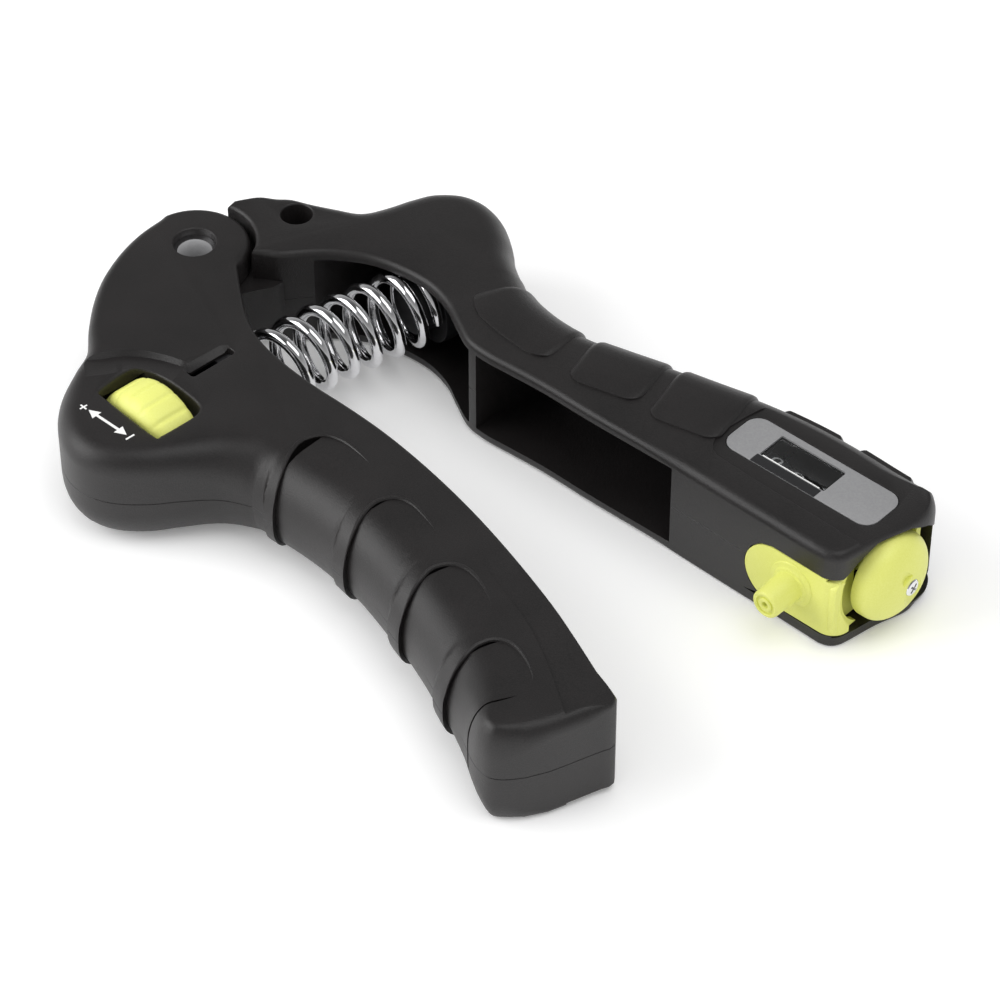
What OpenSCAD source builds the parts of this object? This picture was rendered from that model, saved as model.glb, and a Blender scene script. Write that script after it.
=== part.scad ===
// Hand grip strengthener: two black handles on a pivot pin, a chrome compression spring between them,
// a thumbwheel that sets its preload, and a squeeze counter with a reset knob in the end of one handle.
// Millimetres. Both handles lie on the plane z = 0; x runs along the handles away from the pivot.

/* [Handles] */
// Thickness of the palm handle
palm_t = 22.6; // [21.8:0.2:24]
// Thickness of the counter handle
counter_t = 23.4; // [22.8:0.2:25]
// Edge rounding on the finger side of the palm handle
finger_round = 9; // [6:0.5:10]
// Edge rounding round the palm handle's head
head_round = 3.2; // [1.5:0.1:4.5]
// Edge rounding on the outer side of the counter handle
outer_round = 6.5; // [3:0.5:8]
// Edge rounding where nothing is held
small_round = 1; // [0.4:0.1:1.6]
// How far each finger collar stands above the grip
collar_rise = 0.9; // [0.2:0.1:1.5]
// How far the grip drops behind each finger collar
collar_drop = 0.7; // [0.2:0.1:1.5]
// How far the pads stand out of the counter handle
pad_rise = 0.9; // [0.2:0.1:1.4]

/* [Pivot] */
// Radius of the ears round the pivot
ear_r = 11.1; // [10:0.1:11.6]
// Thickness of each ear
ear_t = 5.6; // [5:0.1:6]
// Radius of the pin's shaft
pin_r = 3.5; // [2.5:0.1:3.8]
// Radius of the pin's domed head
pin_head_r = 4.2; // [4:0.1:5]
// Height of the pin's head
pin_head_h = 3.4; // [2.6:0.1:3.8]
// Depth of the pin's head below the ear's face
pin_recess = 0.7; // [0.4:0.1:1.6]
// Radius of the push nut under the pin
nut_r = 6; // [5:0.1:7]
// Thickness of the push nut
nut_t = 0.8; // [0.5:0.1:1]
// Radius of the pivot washers
washer_r = 8; // [6:0.5:10]
// Thickness of the pivot washers
washer_t = 0.5; // [0.3:0.1:0.8]
// Greatest squeeze of the handles in degrees
squeeze = 16.5; // [8:0.5:16.5]

/* [Grip spring] */
// Wire diameter of the grip spring
wire_d = 2.4; // [2:0.1:2.6]
// Mean coil radius of the grip spring
coil_r = 7.4; // [7:0.1:7.5]
// Number of turns
coil_turns = 8; // [6:1:9]
// Rise of each end turn
end_pitch = 2.9; // [2.9:0.05:3.2]
// Length of the wound line between the handles
spring_len = 41; // [40:0.5:43]
// Turn of the spring's line from one handle to the other, in degrees
spring_bend = 12; // [0:1:14]
// Distance of the spring's line from the pivot, measured along the handles
spring_x = 31; // [30.5:0.1:31.5]
// Start of the spring's line, measured across the handles from the pivot
spring_start = -12.5; // [-13:0.1:-12]
// Length of the guide that reaches into each end of the spring
guide_len = 4; // [2:0.5:6]

/* [Preload adjuster] */
// Radius of the thumbwheel
wheel_r = 12; // [11.6:0.1:12.1]
// Width of the thumbwheel
wheel_w = 9.6; // [8:0.1:9.6]
// Height of the wheel's and spring's axis
axis_z = 12.3; // [12.3:0.1:12.6]
// Number of finger notches round the thumbwheel
notch_count = 18; // [12:1:24]
// Radius of the threaded stem
stem_r = 3; // [2.5:0.1:3.5]
// Length of the spring seat
seat_len = 5.3; // [4:0.1:5.5]
// Travel of the spring seat
seat_travel = 8; // [4:0.5:8]
// Width of the pointer slot
slot_w = 1.5; // [1.2:0.1:2]
// Length of the window over the thumbwheel
window_l = 18.4; // [16:0.2:19]
// Thickness of the thrust washers
thrust_t = 0.4; // [0.2:0.1:0.5]

/* [Counter] */
// Radius of the number wheels
number_r = 8.4; // [7.5:0.1:8.5]
// Width of each number wheel
number_w = 4.7; // [4:0.1:4.7]
// Gap between the number wheels
number_gap = 0.3; // [0.3:0.05:0.4]
// Radius of the wheels' axle
axle_r = 1; // [0.7:0.1:1.3]
// Radius of the ratchet on the units wheel
ratchet_r = 3.2; // [3:0.1:3.4]
// Length of the display window
display_l = 15; // [13:0.5:15.5]
// Width of the display window
display_w = 6.6; // [5:0.1:7]
// Length of the label plate
label_l = 35.4; // [33:0.2:35.6]
// Width of the label plate
label_w = 10.8; // [9:0.2:11]

/* [Counter button and knob] */
// Travel of the counter button
button_travel = 1.6; // [1:0.1:1.7]
// Length of the button's stub
stub_len = 7; // [4:0.5:7]
// Radius of the button's stub
stub_r = 3.1; // [2.5:0.1:3.6]
// Thickness of the button's bracket
bracket_t = 1.8; // [1.2:0.1:1.9]
// Radius of the reset knob
knob_r = 9.2; // [8.5:0.1:9.2]
// Length of the reset knob
knob_len = 7.6; // [6:0.2:7.6]
// Travel of the reset knob when pushed
knob_travel = 2; // [1:0.1:2]
// Radius of the hole round the knob in the bracket
knob_hole_r = 12.2; // [11.4:0.1:12.2]
// Radius of the knob screw's head
screw_r = 1.7; // [1.3:0.1:2]

/* [Hang hole] */
// Diameter of the hang hole
hang_d = 6.4; // [4:0.2:7]

/* [Clearances] */
// Radial clearance of a running fit
fit = 0.06; // [0.03:0.01:0.1]
// Gap between parts that pass each other
gap = 0.3; // [0.3:0.05:0.4]

/* [Hidden] */

// The origin lies under the middle of the whole object; the pivot stands at this place.
pivot_x = -73.2;
pivot_y = -0.2;

black = "#26262a";
lime = "#e0e65e";
steel = "#c9ccd1";
silver = "#b9bbbe";

cut = 1;                       // how far a cutting shape runs past the face that it cuts
bottom_plate = 2.4;            // floor of the counter handle
top_plate = 2.2;               // roof of the counter handle

// Angles on the quarter round of a handle's edge
edge_steps = [0, 24, 48, 70, 90];

// --- Smooth outlines -----------------------------------------------------------------------------
// A control point is [x, y, edge inset, edge height].

function between(a, b, c, d, t) =
    0.5 * (2 * b + (c - a) * t + (2 * a - 5 * b + 4 * c - d) * t * t
        + (3 * b - a - 3 * c + d) * t * t * t);

function on_curve(p, i, t) =
    between(p[max(i - 1, 0)], p[i], p[i + 1], p[min(i + 2, len(p) - 1)], t);

function curve(p, steps) =
    [for (i = [0 : len(p) - 2], k = [0 : steps - 1]) on_curve(p, i, k / steps)];

function edged(p, inset, height) = [for (q = p) [q[0], q[1], inset, height]];

function unit(v) = v / norm(v);

// Outward normal of a closed outline that runs anticlockwise
function outward(p, i) =
    let (n = len(p),
         a = p[(i + n - 1) % n],
         b = p[(i + 1) % n],
         d = unit([b[0] - a[0], b[1] - a[1]]))
    [d[1], -d[0]];

// One ring of a handle: each point moves out by its rise and in by its edge inset
function ring(p, rise, angle, thick, up) =
    [for (i = [0 : len(p) - 1])
        let (m = outward(p, i),
             move = rise[i] * cos(angle) - p[i][2] * (1 - cos(angle)),
             z = p[i][3] * (1 - sin(angle)))
        [p[i][0] + m[0] * move, p[i][1] + m[1] * move, up ? thick - z : z]];

// A flat outline is cut into triangles one corner at a time, the narrowest corner first.
function turn(a, b, c) = (b[0] - a[0]) * (c[1] - a[1]) - (b[1] - a[1]) * (c[0] - a[0]);

function corner_at(left, i) =
    let (n = len(left))
    [left[(i + n - 1) % n], left[i], left[(i + 1) % n]];

function holds(q, a, b, c) = turn(a, b, q) > 0 && turn(b, c, q) > 0 && turn(c, a, q) > 0;

function is_free(p, left, t) =
    turn(p[t[0]], p[t[1]], p[t[2]]) > 0
        && len([for (j = left) if (holds(p[j], p[t[0]], p[t[1]], p[t[2]])) j]) == 0;

function span(p, t) = norm([p[t[2]][0] - p[t[0]][0], p[t[2]][1] - p[t[0]][1]]);

// Index of the free corner with the least span, from those still to be looked at
function best_corner(p, left, i = 0, best = -1, least = 1e9) =
    i == len(left) ? best :
    let (t = corner_at(left, i), s = span(p, t))
    s < least && is_free(p, left, t)
        ? best_corner(p, left, i + 1, i, s)
        : best_corner(p, left, i + 1, best, least);

function triangles(p, left, done = []) =
    len(left) == 3 ? concat(done, [left]) :
    let (i = best_corner(p, left), t = corner_at(left, i))
    triangles(p, [for (j = left) if (j != t[1]) j], concat(done, [t]));

// A slab whose outline is p, with rounded edges above and below
module slab(p, rise, thick) {
    n = len(p);
    k = len(edge_steps);
    low = [for (j = [0 : k - 1]) ring(p, rise, edge_steps[k - 1 - j], thick, false)];
    high = [for (j = [0 : k - 1]) ring(p, rise, edge_steps[j], thick, true)];
    rings = concat(low, high);
    m = len(rings);
    points = [for (r = rings, q = r) q];
    sides = [for (j = [0 : m - 2], i = [0 : n - 1], h = [0, 1])
        let (a = j * n + i, b = j * n + (i + 1) % n)
        h == 0 ? [a, b + n, b] : [a, a + n, b + n]];
    flat = triangles(rings[0], [for (i = [0 : n - 1]) i]);
    lift = (m - 1) * n;
    roof = [for (t = flat) [t[2] + lift, t[1] + lift, t[0] + lift]];
    polyhedron(points, concat(flat, roof, sides), convexity = 8);
}

module at_pivot() translate([pivot_x, pivot_y, 0]) children();

// --- Outline of the palm handle -----------------------------------------------------------------

inner_round = 0.9;
end_round = 1.9;

ear_arc = [for (a = [14 : 10 : 174]) [ear_r * cos(a), ear_r * sin(a), small_round, small_round]];

head_curve = concat(
    edged([[-11.1, 0], [-10.5, -6], [-8.5, -12.5], [-5, -19.5], [-0.5, -25.5], [5, -31]],
        small_round, small_round),
    edged([[10, -35.5], [13, -41], [16.2, -47.2], [21, -51.8], [26.8, -54.7], [32.5, -55.2],
        [38, -53], [43, -48.3], [47, -42.7]], head_round, head_round),
    edged([[51.5, -37.3]], finger_round / 2, finger_round / 2),
    edged([[57, -34.1]], finger_round, finger_round));

// Ends of the finger panels lie on every other point
finger_curve = concat(
    edged([[57, -34.1], [63.6, -33.6], [73.4, -33.2], [83.2, -34], [92.7, -35.7], [102.2, -37.9],
        [111.4, -40.9], [120.6, -44.4]], finger_round, finger_round),
    edged([[129.5, -48.2]], finger_round - 3.5, finger_round - 1),
    edged([[135.3, -50.4], [138.2, -49]], end_round, finger_round - 3));
first_lip = 1;
panels = 3;
panel_steps = [0.02, 0.2, 0.4, 0.6, 0.8, 0.98];
panel_power = 1.7;

end_face = edged([[140, -45.1], [147.9, -27.4]], 1.2, 1.2);

palm_inner = edged([[140, -24.3], [132, -21.5], [124, -19], [115, -16.6],
    [105, -14.3], [95, -12.4], [85, -11], [75, -10], [66, -9.6], [57, -9.9], [48, -10.5],
    [39, -10.4], [31, -9.4], [24.5, -7], [18, -3], [11.1, 1.8]], inner_round, inner_round);

// Rise of a finger panel along its length: low behind one collar, high on the next
function panel_rise(s) = -collar_drop + (collar_drop + collar_rise) * pow(s, panel_power);

lead_steps = [0, 0.3, 0.6, 0.8, 0.98];
tail_steps = [0.03, 0.25, 0.5, 0.75];

finger_points = concat(
    [for (t = lead_steps) on_curve(finger_curve, 0, t)],
    [for (p = [0 : panels - 1], s = panel_steps)
        on_curve(finger_curve, first_lip + 2 * p + floor(2 * s), 2 * s - floor(2 * s))],
    [for (s = tail_steps) on_curve(finger_curve, first_lip + 2 * panels, s)],
    [for (i = [first_lip + 2 * panels + 1 : len(finger_curve) - 2], t = [0, 0.5])
        on_curve(finger_curve, i, t)],
    [finger_curve[len(finger_curve) - 1]]);

finger_rises = concat(
    [for (t = lead_steps) collar_rise * t * t],
    [for (p = [0 : panels - 1], s = panel_steps) panel_rise(s)],
    [for (s = tail_steps) -collar_drop * (1 - s)]);

head_points = curve(head_curve, 2);
palm_outline = concat(ear_arc, head_points, finger_points, end_face, palm_inner);
palm_rises = [for (i = [0 : len(palm_outline) - 1])
    let (j = i - len(ear_arc) - len(head_points))
    j >= 0 && j < len(finger_rises) ? finger_rises[j] : 0];

// --- Outline of the counter handle --------------------------------------------------------------

tongue_r = ear_r - 0.1;
tongue_corner = [15.5, 7];
tangent_angle = atan2(tongue_corner[1], tongue_corner[0]) - acos(tongue_r / norm(tongue_corner));

counter_inner = edged([[13.2, 8], [15.6, 9.8], [18.6, 13.9], [22.4, 18], [28, 21.9], [34.5, 24],
    [41.5, 24.8], [48, 23.7], [53.5, 21.3], [59.3, 18.9], [64.7, 18.7], [70, 19.4], [79, 20.6], [91, 21.5],
    [103, 22.8], [113, 23.8], [125, 24.8], [136, 26], [147.6, 26.8]], small_round, small_round);

housing_end = concat(
    edged([[149.6, 28], [150.8, 31.5], [151.6, 37], [153, 43.5]], 1.6, 1.6),
    edged([[153.4, 48], [151.7, 52]], 3, 4));

// Outer side without its pads, which rise out of it
pad_curve = concat(
    edged([[147.6, 54.4]], outer_round - 2, outer_round),
    edged([[140, 54.9], [130, 54.4], [120, 53.2], [110, 51.1], [100, 48], [90, 44.9], [81, 41.8],
        [73, 39.3], [65, 38.5], [57, 39.5], [50.5, 42.4]], outer_round, outer_round));

hump_curve = concat(
    edged([[50.5, 42.4], [45.3, 45.4], [40.7, 49], [35.1, 52.1], [29.1, 53.2], [23.6, 51.8],
        [18.6, 47.6], [15.3, 42.5], [12, 36], [6.5, 29.2], [0.2, 23.2]], 3.5, 4.5),
    edged([[-4.4, 16.4]], small_round, small_round));

// Hollow arc that clears the ears, and the step beside it
recess_r = ear_r + 1.1;
recess_arc = [for (a = [105 : -8.5 : 28])
    [recess_r * cos(a), recess_r * sin(a), small_round, small_round]];

// Pads on the outer side, by where each begins and ends along the handle
pads = [[55, 71], [75, 89.5], [93, 107], [113.5, 126.5], [131, 144]];
pad_slope = 1.2;

function ramp(x) = max(0, min(1, x));
function pad_height(x) =
    max([for (p = pads) pad_rise * ramp(min(x - p[0], p[1] - x) / pad_slope)]);

// The outer side is sampled at both ends of each pad and between them
function outer_at(x, i = 0) =
    i < len(pad_curve) - 2 && pad_curve[i + 1][0] > x ? outer_at(x, i + 1) :
    let (a = pad_curve[i][0], b = pad_curve[i + 1][0])
    on_curve(pad_curve, i, (x - a) / (b - a));

pad_stations = [for (k = [len(pads) - 1 : -1 : 0])
    let (p = pads[k])
    each [p[1], p[1] - pad_slope, (p[0] + p[1]) / 2, p[0] + pad_slope, p[0]]];
outer_side = concat([pad_curve[0]], [for (x = pad_stations) outer_at(x)]);
hump_side = concat(curve(hump_curve, 2), [hump_curve[len(hump_curve) - 1]]);

counter_outline = concat(counter_inner, housing_end, outer_side, hump_side, recess_arc);
counter_rises = [for (i = [0 : len(counter_outline) - 1])
    let (j = i - len(counter_inner) - len(housing_end))
    j >= 0 && j < len(outer_side) ? pad_height(counter_outline[i][0]) : 0];

// --- Pivot --------------------------------------------------------------------------------------

slot_low = ear_t;
slot_high = palm_t - ear_t;
running_gap = 0.1;
tongue_low = slot_low + washer_t + running_gap;
tongue_high = slot_high - washer_t - running_gap;
head_low = palm_t - pin_recess - pin_head_h;
nut_recess = 0.7;

// The tongue's outline, grown for the slot that clears it
module tongue_flat(grow) {
    r = tongue_r + grow;
    circle(r = r, $fn = 96);
    polygon([r * [cos(tangent_angle), sin(tangent_angle)], tongue_corner + grow * [1, -0.5],
        tongue_corner + [0, 6], [-3 - grow, 14], r * [cos(172), sin(172)]]);
}

module pivot_pin() color(steel) at_pivot()
    rotate_extrude($fn = 96)
        polygon(concat(
            [[0, nut_recess - 0.2], [pin_r - 0.4, nut_recess - 0.2], [pin_r, nut_recess + 0.2],
                [pin_r, head_low], [pin_head_r, head_low]],
            [for (a = [0 : 15 : 90])
                [pin_head_r * cos(a), palm_t - pin_recess - 1.2 + 1.2 * sin(a)]]));

module pivot_cap() color(steel) at_pivot()
    translate([0, 0, nut_recess])
        difference() {
            cylinder(r = nut_r, h = nut_t, $fn = 96);
            translate([0, 0, -cut]) cylinder(r = pin_r + fit, h = nut_t + 2 * cut, $fn = 96);
        }

module pivot_washers() color(silver) at_pivot()
    for (z = [slot_low, slot_high - washer_t])
        translate([0, 0, z])
            difference() {
                cylinder(r = washer_r, h = washer_t, $fn = 96);
                translate([0, 0, -cut])
                    cylinder(r = pin_r + fit, h = washer_t + 2 * cut, $fn = 96);
            }

// --- Preload adjuster ---------------------------------------------------------------------------
// Everything here lies on one line across the handles; along() stands a shape on that line with its
// own z axis pointing from the wheel towards the spring.

bore_r = coil_r + wire_d / 2 + 0.4;
seat_face = spring_start - wire_d / 2;
seat_back = seat_face - seat_len;
bore_end = seat_back - seat_travel - gap;
wall_t = 4.2;
chamber_front = bore_end - wall_t;
chamber_back = chamber_front - wheel_w - 2 * thrust_t - 2 * running_gap;
chamber_r = wheel_r + 0.35;
stem_back = chamber_back - 1.8;
blind_end = stem_back - seat_travel - gap;
pointer_y = seat_face - 3.2;
pointer_r = slot_w / 2 - 0.15;
pointer_top = palm_t - 0.5;
guide_r = coil_r - wire_d / 2 - 0.6;
window_w = chamber_front - chamber_back;

module along(y) translate([spring_x, y, axis_z]) rotate([-90, 0, 0]) children();

module rod(y0, y1, r) along(y0) cylinder(r = r, h = y1 - y0, $fn = 96);

module spring_seat() color(black) at_pivot() {
    rod(seat_back + 2, seat_face, bore_r - fit);
    difference() {
        rod(seat_back, seat_back + 2, bore_r - fit);
        rod(seat_back - cut, seat_back + 1.5, stem_r - 1 + fit);
    }
    rod(seat_face, seat_face + guide_len, guide_r);
    translate([spring_x, pointer_y, axis_z + bore_r - 1.5])
        cylinder(r = pointer_r, h = pointer_top - axis_z - bore_r + 1.5, $fn = 32);
}

module adjuster_screw() color(steel) at_pivot() {
    rod(stem_back, seat_back, stem_r);
    rod(seat_back, seat_back + 1.4, stem_r - 1);
}

notch_r = 1.7;
notch_depth = 0.6;
rim_round = 1.2;

module thumbwheel() color(lime) at_pivot()
    difference() {
        along(chamber_back + thrust_t + running_gap)
            rotate_extrude($fn = 128)
                polygon(concat([[stem_r + fit, 0]],
                    [for (a = [0 : 30 : 90])
                        [wheel_r - rim_round * (1 - sin(a)), rim_round * (1 - cos(a))]],
                    [for (a = [90 : -30 : 0])
                        [wheel_r - rim_round * (1 - sin(a)), wheel_w - rim_round * (1 - cos(a))]],
                    [[stem_r + fit, wheel_w]]));
        for (i = [0 : notch_count - 1])
            along(chamber_back - cut)
                rotate((i + 0.5) * 360 / notch_count)
                    translate([wheel_r + notch_r - notch_depth, 0, 0])
                        cylinder(r = notch_r, h = window_w + 2 * cut, $fn = 32);
    }

module thrust_washers() color(steel) at_pivot()
    for (y = [chamber_back, chamber_front - thrust_t])
        difference() {
            rod(y, y + thrust_t, stem_r + 3);
            rod(y - cut, y + thrust_t + cut, stem_r + fit);
        }

module window_flat(l, w, r) {
    square([l - 2 * r, w], center = true);
    square([l, w - 2 * r], center = true);
    for (x = [-1, 1], y = [-1, 1])
        translate([x * (l / 2 - r), y * (w / 2 - r)]) circle(r = r, $fn = 48);
}

bottom_window_l = 11;

module palm_handle() color(black) at_pivot()
    difference() {
        slab(palm_outline, palm_rises, palm_t);
        // pivot
        translate([0, 0, -cut]) cylinder(r = pin_r + fit, h = palm_t + 2 * cut, $fn = 96);
        translate([0, 0, head_low]) cylinder(r = pin_head_r + fit, h = palm_t, $fn = 96);
        translate([0, 0, -cut]) cylinder(r = nut_r + fit, h = cut + nut_recess + nut_t, $fn = 96);
        for (a = [0, -squeeze / 2, -squeeze])
            rotate(a) translate([0, 0, slot_low])
                linear_extrude(slot_high - slot_low) tongue_flat(0.4);
        // spring bore, stem bore, wheel chamber and pointer slot
        rod(bore_end, 0, bore_r);
        rod(blind_end, bore_end + cut, stem_r + fit);
        rod(chamber_back, chamber_front, chamber_r);
        translate([spring_x, (chamber_back + chamber_front) / 2, axis_z])
            linear_extrude(palm_t) window_flat(window_l, window_w, 2);
        translate([spring_x, (chamber_back + chamber_front) / 2, -cut])
            linear_extrude(axis_z) window_flat(bottom_window_l, window_w, 2);
        translate([spring_x, 0, axis_z])
            linear_extrude(palm_t)
                for (y = [pointer_y, pointer_y - seat_travel])
                    translate([0, y]) circle(r = slot_w / 2, $fn = 32);
        translate([spring_x - slot_w / 2, pointer_y - seat_travel, axis_z])
            cube([slot_w, seat_travel, palm_t]);
    }

// --- Grip spring --------------------------------------------------------------------------------
// The wire winds round an arc that leaves the palm handle square and meets the cup in the other.

wire_sides = 6;
curl_rings = 8;
closed_turns = 0.75;
free_pitch = (spring_len - 2 * closed_turns * end_pitch) / (coil_turns - 2 * closed_turns);

// Distance along the arc after some turns
function advance(t) =
    t < closed_turns ? t * end_pitch :
    t > coil_turns - closed_turns ? spring_len - (coil_turns - t) * end_pitch :
    closed_turns * end_pitch + (t - closed_turns) * free_pitch;

// Place and heading of the arc at a distance along it
function heading(s) = 90 - spring_bend * s / spring_len;
bend_r = spring_len / (spring_bend * PI / 180);
function arc_place(s) =
    [spring_x + bend_r * (1 - cos(90 - heading(s))), spring_start + bend_r * sin(90 - heading(s)),
        axis_z];

// Wire centre after some turns, and the directions across it
function coil_out(t) =
    let (h = heading(advance(t)), a = -360 * t)
    [cos(a) * sin(h), -cos(a) * cos(h), sin(a)];
function coil_point(t) = arc_place(advance(t)) + coil_r * coil_out(t);
function coil_dir(t) = unit(coil_point(t + 0.01) - coil_point(t - 0.01));

coil_n = coil_turns * curl_rings;
coil_rings = [for (i = [0 : coil_n])
    let (t = i / curl_rings,
         c = coil_point(t),
         d = coil_dir(t),
         u = unit(coil_out(t) - (coil_out(t) * d) * d),
         w = cross(d, u))
    [for (k = [0 : wire_sides - 1])
        let (a = 360 * k / wire_sides)
        c + wire_d / 2 * (cos(a) * u + sin(a) * w)]];

// Least gap from one turn to the next, measured on the tube's own points
coil_gap = min([for (i = [0 : coil_n - curl_rings], p = coil_rings[i], q = coil_rings[i + curl_rings])
    norm(p - q)]);
echo(least_gap_of_spring = coil_gap);

module grip_spring() color(steel) at_pivot() {
    s = wire_sides;
    points = [for (r = coil_rings, q = r) q];
    sides = [for (i = [0 : coil_n - 1], k = [0 : s - 1], h = [0, 1])
        let (a = i * s + k, b = i * s + (k + 1) % s)
        h == 0 ? [a, b, b + s] : [a, b + s, a + s]];
    first = [for (k = [1 : s - 2]) [0, k + 1, k]];
    last = [for (k = [1 : s - 2]) [coil_n * s, coil_n * s + k, coil_n * s + k + 1]];
    polyhedron(points, concat(first, sides, last), convexity = 10);
}

// --- Far end of the spring ----------------------------------------------------------------------

cup_t = 3;
cup_r = coil_r + wire_d / 2 + 0.2;
post_r = 8;
post_len = 15;

module at_cup()
    translate(arc_place(spring_len)) rotate([0, 0, -spring_bend]) rotate([-90, 0, 0])
        translate([0, 0, wire_d / 2]) children();

module spring_cup() color(black) at_pivot() at_cup() {
    cylinder(r = cup_r, h = cup_t, $fn = 96);
    translate([0, 0, -guide_len]) cylinder(r = guide_r, h = guide_len, $fn = 96);
    translate([0, 0, cup_t]) cylinder(r = 3, h = 5, $fn = 64);
}

// --- Counter housing ----------------------------------------------------------------------------
// The counter lies square to the housing's inner wall. in_housing() has x along the housing towards
// its end, y inwards from the wall and z up; lying() stands a shape on the wheels' line.

housing_turn = 4.8;
housing_at = [130, 25.2];
line_y = 12.8;                 // the wheels' and knob's line behind the inner wall
line_z = 12;
roof_z = counter_t - top_plate;
display_x = -1.4;
display_y = 16.2;
label_x = 1.6;
label_y = 15.4;
pocket = 0.5;
label_t = 0.4;

module in_housing() at_pivot() translate(housing_at) rotate(housing_turn) children();

module lying(x) in_housing() translate([x, line_y, line_z]) rotate([0, 90, 0]) children();

module round_rod(x0, x1, r) lying(x0) cylinder(r = r, h = x1 - x0, $fn = 96);

units_x = display_x + number_w / 2 + number_gap;
tens_x = units_x - number_w - number_gap;
hundreds_x = tens_x - number_w - number_gap;
ratchet_x = units_x + number_w;
ratchet_w = 1.6;

plate_t = 1.4;
left_plate = hundreds_x - number_gap - plate_t;
right_plate = ratchet_x + ratchet_w + 0.4;
frame_y0 = 6;
frame_y1 = 24;
frame_z1 = 19.4;

module number_wheel(x) {
    difference() {
        round_rod(x, x + number_w, number_r);
        round_rod(x - cut, x + number_w + cut, axle_r + fit);
        // shallow dish on each side
        for (s = [x - cut, x + number_w - 0.6])
            difference() {
                round_rod(s, s + cut + 0.6, number_r - 1.4);
                round_rod(s - cut, s + 2 * cut, ratchet_r + 0.5);
            }
    }
}

teeth = 10;

module units_wheel() color("white") {
    number_wheel(units_x);
    difference() {
        lying(ratchet_x - 0.3)
            linear_extrude(ratchet_w + 0.3)
                polygon([for (i = [0 : teeth - 1], k = [0, 1])
                    let (a = 360 * (i + k * 0.15) / teeth, r = k == 0 ? ratchet_r - 1 : ratchet_r)
                    [r * cos(a), r * sin(a)]]);
        round_rod(ratchet_x - cut, ratchet_x + ratchet_w + cut, axle_r + fit);
    }
}

module tens_wheel() color("white") number_wheel(tens_x);

module hundreds_wheel() color("white") number_wheel(hundreds_x);

module wheel_axle() color(steel)
    round_rod(left_plate - 0.5, right_plate + plate_t + 0.5, axle_r);

// The pinions sit below and behind the wheels
pinion_r = 2.3;
pinion_teeth = 6;
pinion_angle = -36;
pinion_reach = number_r + pinion_r + gap;
pinion_y = line_y + pinion_reach * cos(pinion_angle);
pinion_z = line_z + pinion_reach * sin(pinion_angle);
pinion_bore = 0.7;
pinion_w = 3;

module at_pinion(x) in_housing() translate([x, pinion_y, pinion_z]) rotate([0, 90, 0]) children();

module pinion(x)
    at_pinion(x - pinion_w / 2)
        difference() {
            cylinder(r = pinion_r, h = pinion_w, $fn = 64);
            for (i = [0 : pinion_teeth - 1])
                rotate(i * 360 / pinion_teeth) translate([pinion_r + 0.15, 0, -cut])
                    cylinder(r = 0.7, h = pinion_w + 2 * cut, $fn = 24);
            translate([0, 0, -cut]) cylinder(r = pinion_bore + fit, h = pinion_w + 2 * cut, $fn = 48);
        }

module tens_pinion() color("white") pinion(units_x - number_gap / 2);

module hundreds_pinion() color("white") pinion(tens_x - number_gap / 2);

module pinion_axle() color(steel)
    at_pinion(left_plate - 0.5)
        cylinder(r = pinion_bore, h = right_plate + plate_t + 1 - left_plate, $fn = 48);

spring_pad_y = frame_y0;
stub_x = 10.2;
stub_z = 11;
button_spring_r = 2.2;

module counter_frame() color(silver)
    difference() {
        in_housing() {
            for (x = [left_plate, right_plate])
                translate([x, frame_y0, bottom_plate])
                    cube([plate_t, frame_y1 - frame_y0, frame_z1 - bottom_plate]);
            // strip along the floor
            translate([left_plate, frame_y0, bottom_plate])
                cube([right_plate + plate_t - left_plate, 12, 0.8]);
            // pad for the button's spring
            translate([stub_x - 2.6, spring_pad_y, stub_z - 3]) cube([5.2, plate_t, 6]);
        }
        round_rod(left_plate - cut, right_plate + plate_t + cut, axle_r + fit);
        at_pinion(left_plate - cut)
            cylinder(r = pinion_bore + fit, h = right_plate + plate_t + 2 * cut - left_plate, $fn = 48);
    }

pawl_w = 1.1;
pawl_x = ratchet_x + 0.2;

module drive_pawl() color(steel) in_housing() {
    translate([pawl_x, bracket_inner, line_z + ratchet_r + gap])
        cube([pawl_w, line_y - 0.5 - bracket_inner, 0.5]);
}

module hold_pawl() color(steel) in_housing()
    translate([pawl_x, line_y - 1, bottom_plate + 0.8])
        cube([pawl_w, 0.4, line_z - ratchet_r - gap - bottom_plate - 0.8]);

// --- Counter button ----------------------------------------------------------------------------

proud = 0.5;
bracket_y0 = -proud;
bracket_inner = bracket_t - proud;
bracket_z0 = 3.1;
bracket_z1 = 16.4;
bracket_x0 = -0.6;
end_plate_x = 19.6;
end_plate_t = 1.8;
back_plate_x = 17.2;
back_plate_t = 1.2;
far_side = 24;
chamber_y1 = far_side + button_travel + 0.4;

// The end opening of the housing, seen along the knob's line: [inwards, up]
opening = [[0.4, bottom_plate], [0.4, 16.8], [1.6, 17.2], [4.5, 19.8], [9, 22], [16.5, 22],
    [20.8, 20.3], [chamber_y1, 16], [chamber_y1, bottom_plate]];
bracket_end = [[bracket_y0, bracket_z0], [bracket_y0, bracket_z1], [1.8, bracket_z1], [4.7, 19.3],
    [9, 21.6], [16.5, 21.6], [20.4, 19.9], [far_side, 16], [far_side, bracket_z0]];

module across(x, t) translate([x, 0, 0]) rotate([90, 0, 90]) linear_extrude(t) children();

// Rounded tab of the side plate, seen square to the wall
module side_flat() {
    r = (bracket_z1 - bracket_z0) / 2;
    translate([bracket_x0 + r, bracket_z0 + r]) circle(r = r, $fn = 96);
    translate([bracket_x0 + r, bracket_z0])
        square([end_plate_x + end_plate_t - bracket_x0 - r, 2 * r]);
}

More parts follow.
